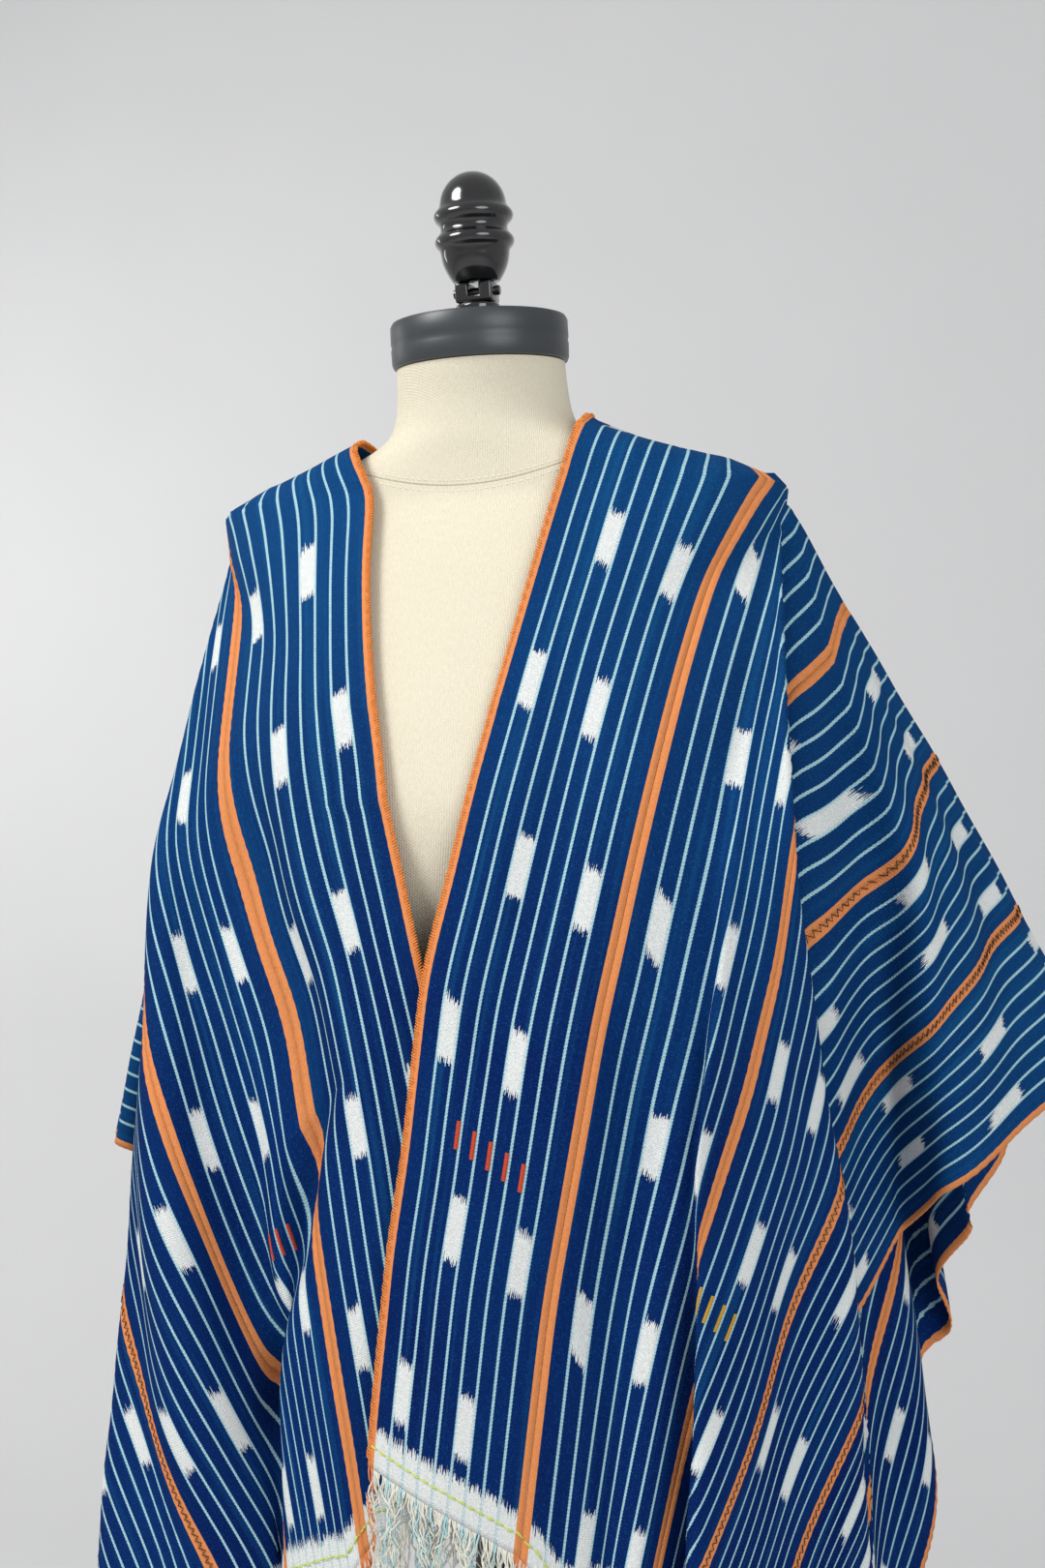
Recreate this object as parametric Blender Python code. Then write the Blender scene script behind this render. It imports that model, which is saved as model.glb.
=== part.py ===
"""Open-fronted wrap of ten handwoven strips with fringed hems, worn by a limbless dress form.

Frame: the floor is z = 0, the form's axis is x = y = 0, its front faces -Y, metres throughout.
The cloth is known by two lengths: s, outwards from the slit across the strips, and t, along
the warp from the shoulder line, to the front hem or to the back hem. Between the neck and
the shoulder tip the warps hang over the form. Beyond the tip the cloth is a cone of folds
that hangs from the tip, so that a point's distance from the tip stays what it is when flat.
"""

import math

import bmesh
import bpy
import numpy as np
from mathutils import Matrix

# Cloth
STRIP_WIDTH = 0.115
STRIPS = 5
HALF_WIDTH = STRIP_WIDTH * STRIPS
CLOTH_LENGTH = 0.71
CLOTH_THICKNESS = 0.0012
SEAM_GAP = 0.0003
SHARPEST_TURN = 0.7
SHARPEST_SEAM = 0.40
FOLD_EASE = 0.25
CLOTH_OVER_FORM = 0.0036
SHOULDER_LIFT = 0.0024
# Passes that ease each rail of the drape
RAIL_PASSES = {"slit": 12, "outer": 60}
SHOULDER_REACH = 0.14
BLADE_HEIGHT = 1.270
BACK_DEPTH = 0.108
BACK_BOW = 0.9
SLIT_CLOSES = 0.050
SIDE_CLOSES = 0.340
BREAST_CROWN = 0.010
RIDGE_ROUND = 0.020
TIP_ROUND = 0.035
LONGEST_DROP = 0.78
# Mesh of a strip: cells across it, and where its rows lie
CELLS_ACROSS = 5
SHOULDER_ROWS = (0.0, 0.012, 0.025, 0.042, 0.066, 0.098)
HEM_ROWS = 15
# Fringe
BAND_HEIGHT = 0.005
BAND_GAP = 0.0015
LOCK_LENGTH = 0.045
COLUMNS_PER_CELL = 3
LOCK_TAPER = 0.55
LOCK_SWAY = 0.003
# Form and stand
FORM_SIDES = 36
FORM_INSET = 0.0018
NECK_TILT = math.radians(10)
NECK_TOP = 1.460
CAP_RADIUS = 0.0575
CAP_HEIGHT = 0.029
CAP_BEVEL = 0.003
PART_GAP = 0.0003
POLE_RADIUS = 0.0125
FLANGE_RADIUS = 0.045
FLANGE_HEIGHT = 0.006
BASE_RADIUS = 0.170
BASE_HEIGHT = 0.014
HUB_RADIUS = 0.028
HUB_HEIGHT = 0.040

# Sections of the form: height, half width, depth to the front, depth to the back,
# y of the section's middle, roundness (2 is an ellipse, more is boxier)
FORM_SECTIONS = [
    (0.770, 0.150, 0.095, 0.105, 0.005, 2.3),
    (0.800, 0.163, 0.102, 0.113, 0.005, 2.3),
    (0.850, 0.166, 0.104, 0.116, 0.005, 2.3),
    (0.920, 0.148, 0.096, 0.098, 0.000, 2.3),
    (0.990, 0.118, 0.088, 0.080, 0.000, 2.3),
    (1.050, 0.120, 0.095, 0.082, -0.002, 2.3),
    (1.110, 0.134, 0.114, 0.088, -0.004, 2.4),
    (1.170, 0.148, 0.124, 0.094, -0.005, 2.4),
    (1.230, 0.156, 0.114, 0.100, -0.003, 2.4),
    (1.290, 0.168, 0.096, 0.102, 0.000, 2.3),
    (1.340, 0.183, 0.080, 0.094, 0.002, 2.2),
    (1.372, 0.188, 0.068, 0.078, 0.002, 2.1),
    (1.384, 0.161, 0.066, 0.070, -0.002, 2.0),
    (1.396, 0.121, 0.063, 0.062, -0.007, 2.0),
    (1.407, 0.084, 0.061, 0.055, -0.012, 2.0),
    (1.417, 0.066, 0.058, 0.050, -0.016, 2.0),
    (1.430, 0.060, 0.056, 0.048, -0.021, 2.0),
    (1.445, 0.0575, 0.055, 0.051, -0.026, 2.0),
    (1.460, 0.0565, 0.0555, 0.0555, -0.030, 2.0),
]

# Each side's x is measured towards its own shoulder, so that both read alike.
# slit and outer: the front edge and the warp under the shoulder tip, as drop, x, y.
# front and back: the folds of the cone from the inner panel round to the ridge, as name,
# rounding, cone angle in the flat cloth at each of the radii (None: shared out by length),
# and (x, y) at each of the radii. The angle is 90 on the inner panel and 0 on the ridge.
FOLD_RADII = (0.12, 0.25, 0.45, 0.70)
SIDES = {
    "right": {
        "towards": 1, "tip_s": 0.143, "neck_height": 1.4300, "tip_height": 1.3765,
        "ridge": (0.456, 0.250, -0.855),
        "slit": [
            (0.000, 0.0660, 0.000), (0.008, 0.0685, -0.030), (0.020, 0.0680, -0.050),
            (0.039, 0.0665, -0.064), (0.065, 0.0600, -0.072), (0.120, 0.0500, -0.092),
            (0.175, 0.0395, -0.112), (0.232, 0.0280, -0.128), (0.363, 0.0000, -0.147),
            (0.464, -0.0100, -0.149), (0.521, -0.0200, -0.149), (0.720, -0.0400, -0.149),
        ],
        "outer": [
            (0.000, 0.1900, 0.004), (0.130, 0.1675, -0.078), (0.2165, 0.1525, -0.108),
            (0.330, 0.1300, -0.120), (0.410, 0.1150, -0.122), (0.4965, 0.0980, -0.124),
            (0.720, 0.0720, -0.130),
        ],
        "front": [
            ("breast", 0.020, None, (0.182, -0.052), (0.164, -0.104), (0.138, -0.118), (0.110, -0.128)),
            ("behind pleat", 0.012, None, (0.184, -0.052), (0.171, -0.100), (0.155, -0.102), (0.162, -0.088)),
            ("pleat", 0.012, (82, 85, 82, 72), (0.187, -0.052), (0.176, -0.104), (0.152, -0.130), (0.150, -0.138)),
            ("side front", 0.030, None, (0.191, -0.050), (0.192, -0.098), (0.184, -0.082), (0.194, -0.098)),
            ("side valley", 0.026, None, (0.194, -0.048), (0.200, -0.094), (0.206, -0.050), (0.208, -0.052)),
            ("front fold", 0.018, (72, 69, 62, 50), (0.199, -0.050), (0.214, -0.094), (0.238, -0.002), (0.262, -0.004)),
            ("armhole valley", 0.028, None, (0.182, -0.020), (0.168, -0.044), (0.152, 0.014), (0.170, 0.024)),
            ("wing start", 0.020, (50, 46, 42, 32), (0.202, -0.022), (0.210, -0.052), (0.224, 0.034), (0.240, 0.050)),
            ("wing valley", 0.016, None, (0.218, -0.006), (0.246, 0.016), (0.254, 0.086), (0.276, 0.110)),
            ("wing fold", 0.016, (40, 36, 20, 8), (0.224, -0.004), (0.270, 0.000), (0.290, 0.022), (0.320, 0.040)),
            ("wing", 0.030, None, (0.236, 0.012), (0.290, 0.030), (0.345, 0.070), (0.395, 0.090)),
        ],
        "back": [
            ("blade valley", 0.020, None, (0.186, 0.052), (0.180, 0.082), (0.176, 0.078), (0.174, 0.072)),
            ("blade fold", 0.020, None, (0.191, 0.068), (0.191, 0.128), (0.192, 0.160), (0.196, 0.170)),
            ("back valley", 0.020, None, (0.198, 0.050), (0.210, 0.084), (0.224, 0.084), (0.240, 0.080)),
            ("back fold", 0.022, None, (0.207, 0.070), (0.228, 0.136), (0.256, 0.186), (0.284, 0.200)),
            ("wing valley", 0.022, None, (0.215, 0.048), (0.250, 0.080), (0.292, 0.098), (0.330, 0.104)),
            ("wing fold", 0.024, None, (0.230, 0.064), (0.280, 0.128), (0.346, 0.190), (0.410, 0.230)),
        ],
    },
    "left": {
        "towards": -1, "tip_s": 0.130, "neck_height": 1.4125, "tip_height": 1.3765,
        "ridge": (0.207, -0.002, -0.978),
        "slit": [
            (0.000, 0.0790, 0.000), (0.007, 0.0735, -0.030), (0.018, 0.0635, -0.052),
            (0.034, 0.0600, -0.065), (0.087, 0.0565, -0.083), (0.143, 0.0480, -0.104),
            (0.198, 0.0350, -0.122), (0.255, 0.0240, -0.131), (0.341, 0.0030, -0.135),
            (0.441, -0.0200, -0.134), (0.720, -0.0670, -0.131),
        ],
        "outer": [
            (0.000, 0.1900, 0.004), (0.130, 0.1715, -0.070), (0.2115, 0.1680, -0.092),
            (0.2865, 0.1420, -0.102), (0.3365, 0.1180, -0.104), (0.4165, 0.1040, -0.106),
            (0.5165, 0.0800, -0.124), (0.720, 0.0400, -0.132),
        ],
        "front": [
            ("pleat", 0.014, (84, 86.5, 87, 80), (0.183, -0.050), (0.172, -0.098), (0.110, -0.110), (0.104, -0.138)),
            ("behind pleat", 0.014, None, (0.185, -0.050), (0.178, -0.099), (0.118, -0.102), (0.098, -0.096)),
            ("side front", 0.030, None, (0.187, -0.050), (0.190, -0.104), (0.170, -0.142), (0.170, -0.146)),
            ("front fold", 0.020, (74, 72, 68, 63), (0.190, -0.048), (0.206, -0.086), (0.226, -0.104), (0.232, -0.108)),
            ("armhole valley", 0.016, None, (0.182, -0.028), (0.166, -0.040), (0.136, -0.050), (0.138, -0.056)),
            ("wing fold", 0.018, (52, 48, 40, 30), (0.205, -0.018), (0.228, -0.024), (0.238, -0.022), (0.246, -0.020)),
            ("wing valley", 0.016, None, (0.186, -0.012), (0.172, -0.006), (0.157, 0.002), (0.160, 0.004)),
            ("wing valley", 0.016, None, (0.192, 0.006), (0.182, 0.022), (0.172, 0.038), (0.180, 0.044)),
            ("wing", 0.030, (7, 7, 7, 7), (0.206, -0.004), (0.232, -0.006), (0.268, -0.012), (0.312, -0.014)),
        ],
        "back": [
            ("blade valley", 0.020, None, (0.184, 0.052), (0.172, 0.080), (0.158, 0.074), (0.148, 0.070)),
            ("blade fold", 0.020, None, (0.188, 0.066), (0.182, 0.122), (0.176, 0.154), (0.176, 0.166)),
            ("back valley", 0.020, None, (0.194, 0.048), (0.196, 0.080), (0.198, 0.080), (0.206, 0.080)),
            ("back fold", 0.032, None, (0.202, 0.062), (0.212, 0.120), (0.226, 0.152), (0.246, 0.168)),
            ("wing valley", 0.022, None, (0.204, 0.036), (0.222, 0.062), (0.242, 0.068), (0.266, 0.070)),
            ("wing fold", 0.024, None, (0.216, 0.038), (0.248, 0.084), (0.282, 0.124), (0.326, 0.144)),
        ],
    },
}

# Finial, turned about the cap's axis: height above the cap, radius
FINIAL_PROFILE = [
    (0.0233, 0.0000), (0.0233, 0.0148), (0.0290, 0.0186), (0.0350, 0.0212), (0.0410, 0.0222),
    (0.0438, 0.0232), (0.0455, 0.0249), (0.0480, 0.0256), (0.0505, 0.0249), (0.0524, 0.0230),
    (0.0560, 0.0216), (0.0594, 0.0230), (0.0612, 0.0249), (0.0637, 0.0256), (0.0662, 0.0249),
    (0.0682, 0.0230), (0.0720, 0.0214), (0.0785, 0.0196), (0.0835, 0.0164), (0.0875, 0.0118),
    (0.0900, 0.0064), (0.0910, 0.0000),
]
FINIAL_SIDES = 24
YOKE_SIZE = (0.0245, 0.020)
YOKE_SLOT = 0.007
FOOT_RADIUS = 0.0165
FOOT_HEIGHT = 0.0098

# Materials: colour, roughness, metallic
COLOURS = {
    "strip_cloth": ((0.016, 0.078, 0.220), 0.85, 0.0),
    "fringe_thread": ((0.740, 0.700, 0.600), 0.90, 0.0),
    "form_linen": ((0.750, 0.690, 0.560), 0.80, 0.0),
    "cap_black": ((0.038, 0.042, 0.046), 0.35, 0.2),
    "finial_black": ((0.010, 0.010, 0.011), 0.15, 0.0),
    "stand_metal": ((0.030, 0.031, 0.033), 0.40, 0.8),
}


# ---------------------------------------------------------------- the form's own surface
SECTION_HEIGHTS = [row[0] for row in FORM_SECTIONS]
HALF, FRONT, BACK, MIDDLE, ROUND = 1, 2, 3, 4, 5


def section(z, column):
    return np.interp(z, SECTION_HEIGHTS, [row[column] for row in FORM_SECTIONS])


def form_level(points, swell):
    """1 on the form swollen by this much, less inside it, more outside it."""
    x, y, z = points[..., 0], points[..., 1], points[..., 2] - swell
    middle = section(z, MIDDLE)
    depth = np.where(y < middle, section(z, FRONT), section(z, BACK)) + swell
    power = section(z, ROUND)
    across = np.abs(x) / (section(z, HALF) + swell)
    along = np.abs(y - middle) / depth
    return (across**power + along**power + 1e-12) ** (1 / power)


def push_out(points, swell):
    """Moves what lies inside the swollen form out to its surface, along the level's slope."""
    points = points.copy()
    nudge = 0.0005
    longest_move = 0.02
    for _ in range(8):
        slope = np.stack(
            [
                form_level(points + nudge * axis, swell) - form_level(points - nudge * axis, swell)
                for axis in np.eye(3)
            ],
            axis=-1,
        ) / (2 * nudge)
        short = np.maximum(1 - form_level(points, swell), 0)
        move = slope * (short / np.maximum((slope**2).sum(-1), 1e-6))[..., None]
        size = np.linalg.norm(move, axis=-1, keepdims=True)
        points += move * np.minimum(1, longest_move / np.maximum(size, 1e-9))
    return points


# ---------------------------------------------------------------- warps over the shoulder
def ease(t):
    t = np.clip(t, 0, 1)
    return t * t * (3 - 2 * t)


def settled(path, passes):
    """A path with its bends eased, its ends kept."""
    path = path.copy()
    for _ in range(passes):
        path[1:-1] = 0.25 * path[:-2] + 0.5 * path[1:-1] + 0.25 * path[2:]
    return path


def at_lengths(path, lengths):
    run = np.concatenate([[0], np.cumsum(np.linalg.norm(np.diff(path, axis=0), axis=1))])
    return np.stack([np.interp(lengths, run, path[:, axis]) for axis in range(3)], axis=-1)


def rail(side, table, column, drop):
    """A column of the slit or outer table as a smooth function of the drop."""
    rows = side[table]
    fine = np.linspace(rows[0][0], rows[-1][0], 200)
    value = np.interp(fine, [row[0] for row in rows], [row[column] for row in rows])
    return np.interp(drop, fine, settled(value[:, None], RAIL_PASSES[table])[:, 0])


def over_form(path):
    """A warp's path, laid on the form wherever it would pass through it."""
    path = settled(push_out(path, CLOTH_OVER_FORM), 10)
    return push_out(path, CLOTH_OVER_FORM)


def front_warp(side, k, lengths):
    """The front half of the warp at a share k of the way from the slit to the tip."""
    top = side["neck_height"] * (1 - k) + side["tip_height"] * k
    drop = np.linspace(0, LONGEST_DROP, 157)
    x = rail(side, "slit", 1, drop) * (1 - k) + rail(side, "outer", 1, drop) * k
    y = rail(side, "slit", 2, drop) * (1 - k) + rail(side, "outer", 2, drop) * k
    y = y - BREAST_CROWN * math.sin(math.pi * k) * ease(drop / 0.2)
    return at_lengths(over_form(np.stack([x, y, top - drop], axis=-1)), lengths)


def back_warp(side, k, lengths):
    """The back half: it draws in to the centre seam and hangs from the shoulder blades."""
    top = side["neck_height"] * (1 - k) + side["tip_height"] * k
    start_x = side["slit"][0][1] * (1 - k) + side["outer"][0][1] * k
    start_y = side["slit"][0][2] * (1 - k) + side["outer"][0][2] * k
    drop = np.linspace(0, LONGEST_DROP, 157)
    x = start_x + (k * side["tip_s"] - start_x) * ease(drop / (SLIT_CLOSES + SIDE_CLOSES * k))
    back_y = BACK_DEPTH - BACK_BOW * x * x
    fall = 1 - (1 - np.clip(drop / (top - BLADE_HEIGHT), 0, 1)) ** 1.8
    y = start_y + (back_y - start_y) * fall
    path = over_form(np.stack([x, y, top - drop], axis=-1))
    path[:, 0] = np.maximum(path[:, 0], 0)
    return at_lengths(path, lengths)


WARPS = {"front": front_warp, "back": back_warp}


# ---------------------------------------------------------------- the cone of folds
def rounded_corners(corners, rounds, steps=10):
    """A polyline with its corners rounded off, and the index of each corner's middle."""
    line, middles = [corners[0]], [0]
    t = np.linspace(0, 1, steps + 1)[:, None]
    for i in range(1, len(corners) - 1):
        before, corner, after = corners[i - 1 : i + 2]
        before_length = np.linalg.norm(before - corner)
        after_length = np.linalg.norm(after - corner)
        cut = min(rounds[i], 0.48 * before_length, 0.48 * after_length)
        first = corner + (before - corner) * cut / before_length
        last = corner + (after - corner) * cut / after_length
        line.extend((1 - t) ** 2 * first + 2 * t * (1 - t) * corner + t**2 * last)
        middles.append(len(line) - 1 - steps // 2)
    return np.array(line + [corners[-1]]), middles + [len(line)]


def ring(side, half, radius, start, tip):
    """Directions from the tip along one ring of the cone, with the cone angle of each."""
    ridge = np.array(side["ridge"]) / np.linalg.norm(side["ridge"])
    first = (start - tip) / np.linalg.norm(start - tip)
    corners, rounds, angles = [first * radius], [0], [90.0]
    for _, rounding, angle, *spots in side[half]:
        beyond = [1.4 * last - 0.4 * inner for last, inner in zip(spots[-1], spots[-2])]
        places = np.array([tip[:2], *spots, beyond])
        radii = (0, *FOLD_RADII, 0.95)
        spot = np.array([np.interp(radius, radii, places[:, axis]) - tip[axis] for axis in (0, 1)])
        spot *= min(1, 0.96 * radius / max(np.linalg.norm(spot), 1e-9))
        corners.append(np.array([*spot, -math.sqrt(radius**2 - (spot**2).sum())]))
        rounds.append(rounding * min(1, radius / 0.3))
        angles.append(None if angle is None else float(np.interp(radius, FOLD_RADII, angle)))
    line, middles = rounded_corners(np.array(corners + [ridge * radius]), rounds + [0])
    line /= np.linalg.norm(line, axis=1, keepdims=True)
    turns = np.arccos(np.clip((line[1:] * line[:-1]).sum(1), -1, 1))
    run = np.concatenate([[0], np.cumsum(turns)])
    known = [(run[m], a) for m, a in zip(middles, angles + [0.0]) if a is not None]
    return line, np.interp(run, [k[0] for k in known], [k[1] for k in known])


def read_table(table, row, column):
    """Bilinear reading of a table at fractional rows and columns."""
    row = np.clip(row, 0, table.shape[0] - 1.001)
    column = np.clip(column, 0, table.shape[1] - 1.001)
    i, j = row.astype(int), column.astype(int)
    a, b = (row - i)[..., None], (column - j)[..., None]
    upper = table[i, j] * (1 - b) + table[i, j + 1] * b
    lower = table[i + 1, j] * (1 - b) + table[i + 1, j + 1] * b
    return upper * (1 - a) + lower * a


class HalfDrape:
    """The front or the back half of one side, read at any s and t."""

    length_step, radius_step, angle_step = 0.005, 0.01, 0.5
    warps = 24

    def __init__(self, side, half):
        self.side = side
        lengths = np.arange(0, LONGEST_DROP, self.length_step)
        shares = np.linspace(0, 1, self.warps)
        self.inner = np.array([WARPS[half](side, share, lengths) for share in shares])
        self.tip = self.inner[-1, 0]
        degrees = np.arange(0, 90 + self.angle_step, self.angle_step)
        radii = np.arange(0, 0.96, self.radius_step)
        table = np.zeros((len(radii), len(degrees), 3))
        for i, radius in enumerate(np.maximum(radii, self.radius_step)):
            start = at_lengths(self.inner[-1], [radius])[0]
            line, angle = ring(side, half, radius, start, self.tip)
            for axis in range(3):
                table[i, :, axis] = np.interp(degrees, angle[::-1], line[::-1, axis])
        for _ in range(8):
            table[1:-1] = 0.25 * table[:-2] + 0.5 * table[1:-1] + 0.25 * table[2:]
        self.cone = table / np.linalg.norm(table, axis=2, keepdims=True)
        edge = self.tip + self.cone[: len(lengths) // 2 + 1, -1] * radii[: len(lengths) // 2 + 1, None]
        self.edge_miss = at_lengths(self.inner[-1], radii[: len(edge)]) - edge
        self.edge_radii = radii[: len(edge)]

    def points(self, s, t):
        tip_s = self.side["tip_s"]
        inner = read_table(self.inner, s / tip_s * (self.warps - 1), t / self.length_step)
        out = np.maximum(s - tip_s, 0)
        radius = np.hypot(out, t)
        angle = np.degrees(np.arctan2(t, np.maximum(out, 1e-9)))
        direction = read_table(self.cone, radius / self.radius_step, angle / self.angle_step)
        direction /= np.linalg.norm(direction, axis=-1, keepdims=True)
        miss = np.stack(
            [np.interp(radius, self.edge_radii, self.edge_miss[:, axis]) for axis in range(3)],
            axis=-1,
        )
        cone = self.tip + direction * radius[..., None] + miss * ease((angle - 45) / 45)[..., None]
        return np.where((s <= tip_s)[..., None], inner, cone)


class SideDrape:
    """One side of the wrap. t runs from the front hem, below zero, to the back hem."""

    def __init__(self, name):
        self.side = SIDES[name]
        self.halves = {half: HalfDrape(self.side, half) for half in WARPS}

    def raw(self, s, t):
        front = self.halves["front"].points(s, np.maximum(-t, 0))
        back = self.halves["back"].points(s, np.maximum(t, 0))
        return np.where((t < 0)[..., None], front, back)

    def points(self, s, t):
        """Points of the cloth's middle surface, with the ridge and the tip rounded over."""
        s, t = np.broadcast_arrays(np.clip(s, 0, HALF_WIDTH), np.asarray(t, float))
        beyond = ease((s - self.side["tip_s"]) / RIDGE_ROUND)
        ridge_reach = 0.6 * (RIDGE_ROUND - np.abs(t)) * (0.25 + 0.75 * beyond)
        tip_reach = 0.5 * (TIP_ROUND - np.hypot(s - self.side["tip_s"], t))
        reach = np.maximum(np.maximum(ridge_reach, tip_reach), 0)
        total = np.zeros(s.shape + (3,))
        for ds, dt, weight in ((0, 0, 4), (1, 0, 2), (-1, 0, 2), (0, 1, 2), (0, -1, 2),
                               (1, 1, 1), (-1, 1, 1), (1, -1, 1), (-1, -1, 1)):
            near_s = np.clip(s + ds * reach, 0, HALF_WIDTH)
            total += weight / 16 * self.raw(near_s, t + dt * reach)
        total = push_out(total, CLOTH_OVER_FORM + SHOULDER_LIFT * (1 - ease(np.abs(t) / SHOULDER_REACH)))
        total[..., 0] *= self.side["towards"]
        return total

    def normals(self, s, t):
        """Unit normals on the outer face of the cloth."""
        s, t = np.broadcast_arrays(np.asarray(s, float), np.asarray(t, float))
        step = 0.002
        across = self.points(np.minimum(s + step, HALF_WIDTH), t) - self.points(np.maximum(s - step, 0), t)
        along = self.points(s, t + step) - self.points(s, t - step)
        normal = np.cross(across, along) * self.side["towards"]
        return normal / np.linalg.norm(normal, axis=-1, keepdims=True)


# ---------------------------------------------------------------- building
def clear_scene():
    for obj in list(bpy.data.objects):
        bpy.data.objects.remove(obj, do_unlink=True)


def material(name):
    found = bpy.data.materials.get(name)
    if found:
        return found
    colour, roughness, metallic = COLOURS[name]
    made = bpy.data.materials.new(name)
    made.use_nodes = True
    shader = made.node_tree.nodes["Principled BSDF"]
    shader.inputs["Base Color"].default_value = (*colour, 1)
    shader.inputs["Roughness"].default_value = roughness
    shader.inputs["Metallic"].default_value = metallic
    return made


def add_object(name, vertices, faces, finish, smooth=True):
    mesh = bpy.data.meshes.new(name)
    mesh.from_pydata([tuple(map(float, v)) for v in vertices], [], faces)
    mesh.materials.append(material(finish))
    if smooth:
        mesh.shade_smooth()
        mesh.set_sharp_from_angle(angle=math.radians(40))
    obj = bpy.data.objects.new(name, mesh)
    bpy.context.scene.collection.objects.link(obj)
    return obj


def face_out(obj):
    """Points the faces of a closed body outwards."""
    shape = bmesh.new()
    shape.from_mesh(obj.data)
    bmesh.ops.recalc_face_normals(shape, faces=shape.faces)
    if shape.calc_volume(signed=True) < 0:
        bmesh.ops.reverse_faces(shape, faces=shape.faces)
    shape.to_mesh(obj.data)
    shape.free()


def wall(name, outer, inner, centres, finish):
    """A closed wall between two grids of points of the same shape. Each cell is split along
    the diagonal that passes nearer to the cloth's own point at the cell's centre."""
    rows, columns = outer.shape[:2]
    vertices = np.concatenate([outer.reshape(-1, 3), inner.reshape(-1, 3)])
    middle = (outer + inner) / 2
    rising = np.linalg.norm((middle[:-1, :-1] + middle[1:, 1:]) / 2 - centres, axis=-1)
    falling = np.linalg.norm((middle[:-1, 1:] + middle[1:, :-1]) / 2 - centres, axis=-1)

    def at(face, i, j):
        return face * rows * columns + i * columns + j

    faces = []
    for i in range(rows - 1):
        for j in range(columns - 1):
            corners = [(i, j), (i, j + 1), (i + 1, j + 1), (i + 1, j)]
            if falling[i, j] < rising[i, j]:
                corners = corners[1:] + corners[:1]
            a, b, c, d = corners
            for triangle in ((a, b, c), (a, c, d)):
                faces.append([at(0, *corner) for corner in triangle])
                faces.append([at(1, *corner) for corner in reversed(triangle)])
    rim = [((i, j), (i + 1, j)) for i in range(rows - 1) for j in (0, columns - 1)]
    rim += [((i, j), (i, j + 1)) for j in range(columns - 1) for i in (0, rows - 1)]
    for here, there in rim:
        faces.append((at(0, *here), at(0, *there), at(1, *there)))
        faces.append((at(0, *here), at(1, *there), at(1, *here)))
    obj = add_object(name, vertices, faces, finish)
    face_out(obj)
    return obj


def warp_rows():
    """The t of each row of a strip's mesh, close together over the shoulder."""
    lower = np.linspace(SHOULDER_ROWS[-1], CLOTH_LENGTH, HEM_ROWS + 1)[1:]
    half = np.concatenate([SHOULDER_ROWS, lower])
    return np.concatenate([-half[:0:-1], half])


def bisectors(grid, axis):
    """At each point, half the sum of the unit steps to it and from it along one axis."""
    steps = np.diff(grid, axis=axis)
    steps /= np.linalg.norm(steps, axis=-1, keepdims=True)
    before = np.concatenate([steps.take([0], axis), steps], axis)
    after = np.concatenate([steps, steps.take([-1], axis)], axis)
    return (before + after) / 2


def make_strips(drape, side_name):
    """The side's cells, cut into strips at the seams. Walls meet on each fold's bisector."""
    cells = CELLS_ACROSS * STRIPS
    s, t = np.meshgrid(np.linspace(0, HALF_WIDTH, cells + 1), warp_rows(), indexing="ij")
    middle = drape.points(s, t)
    eased = middle.copy()
    eased[1:-1] += FOLD_EASE * (middle[:-2] + middle[2:] - 2 * middle[1:-1])
    middle = np.where((s > drape.side["tip_s"] + 0.02)[..., None], eased, middle)
    centres = drape.points((s[1:, 1:] + s[:-1, :-1]) / 2, (t[1:, 1:] + t[:-1, :-1]) / 2)
    across, along = bisectors(middle, 0), bisectors(middle, 1)
    normal = np.cross(across, along) * drape.side["towards"]
    normal /= np.linalg.norm(normal, axis=-1, keepdims=True)
    turn = np.linalg.norm(across, axis=-1, keepdims=True)
    half = CLOTH_THICKNESS / 2 * normal / np.maximum(turn, SHARPEST_TURN)
    inwards = SEAM_GAP / 2 * across / turn / np.maximum(turn, SHARPEST_SEAM) ** 4
    for number in range(1, STRIPS + 1):
        first, last = (number - 1) * CELLS_ACROSS, number * CELLS_ACROSS
        strip = middle[first : last + 1].copy()
        strip[0] += inwards[first]
        strip[-1] -= inwards[last]
        offset = half[first : last + 1]
        wall(f"strip_{side_name}_{number}", strip + offset, strip - offset, centres[first:last], "strip_cloth")


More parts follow.
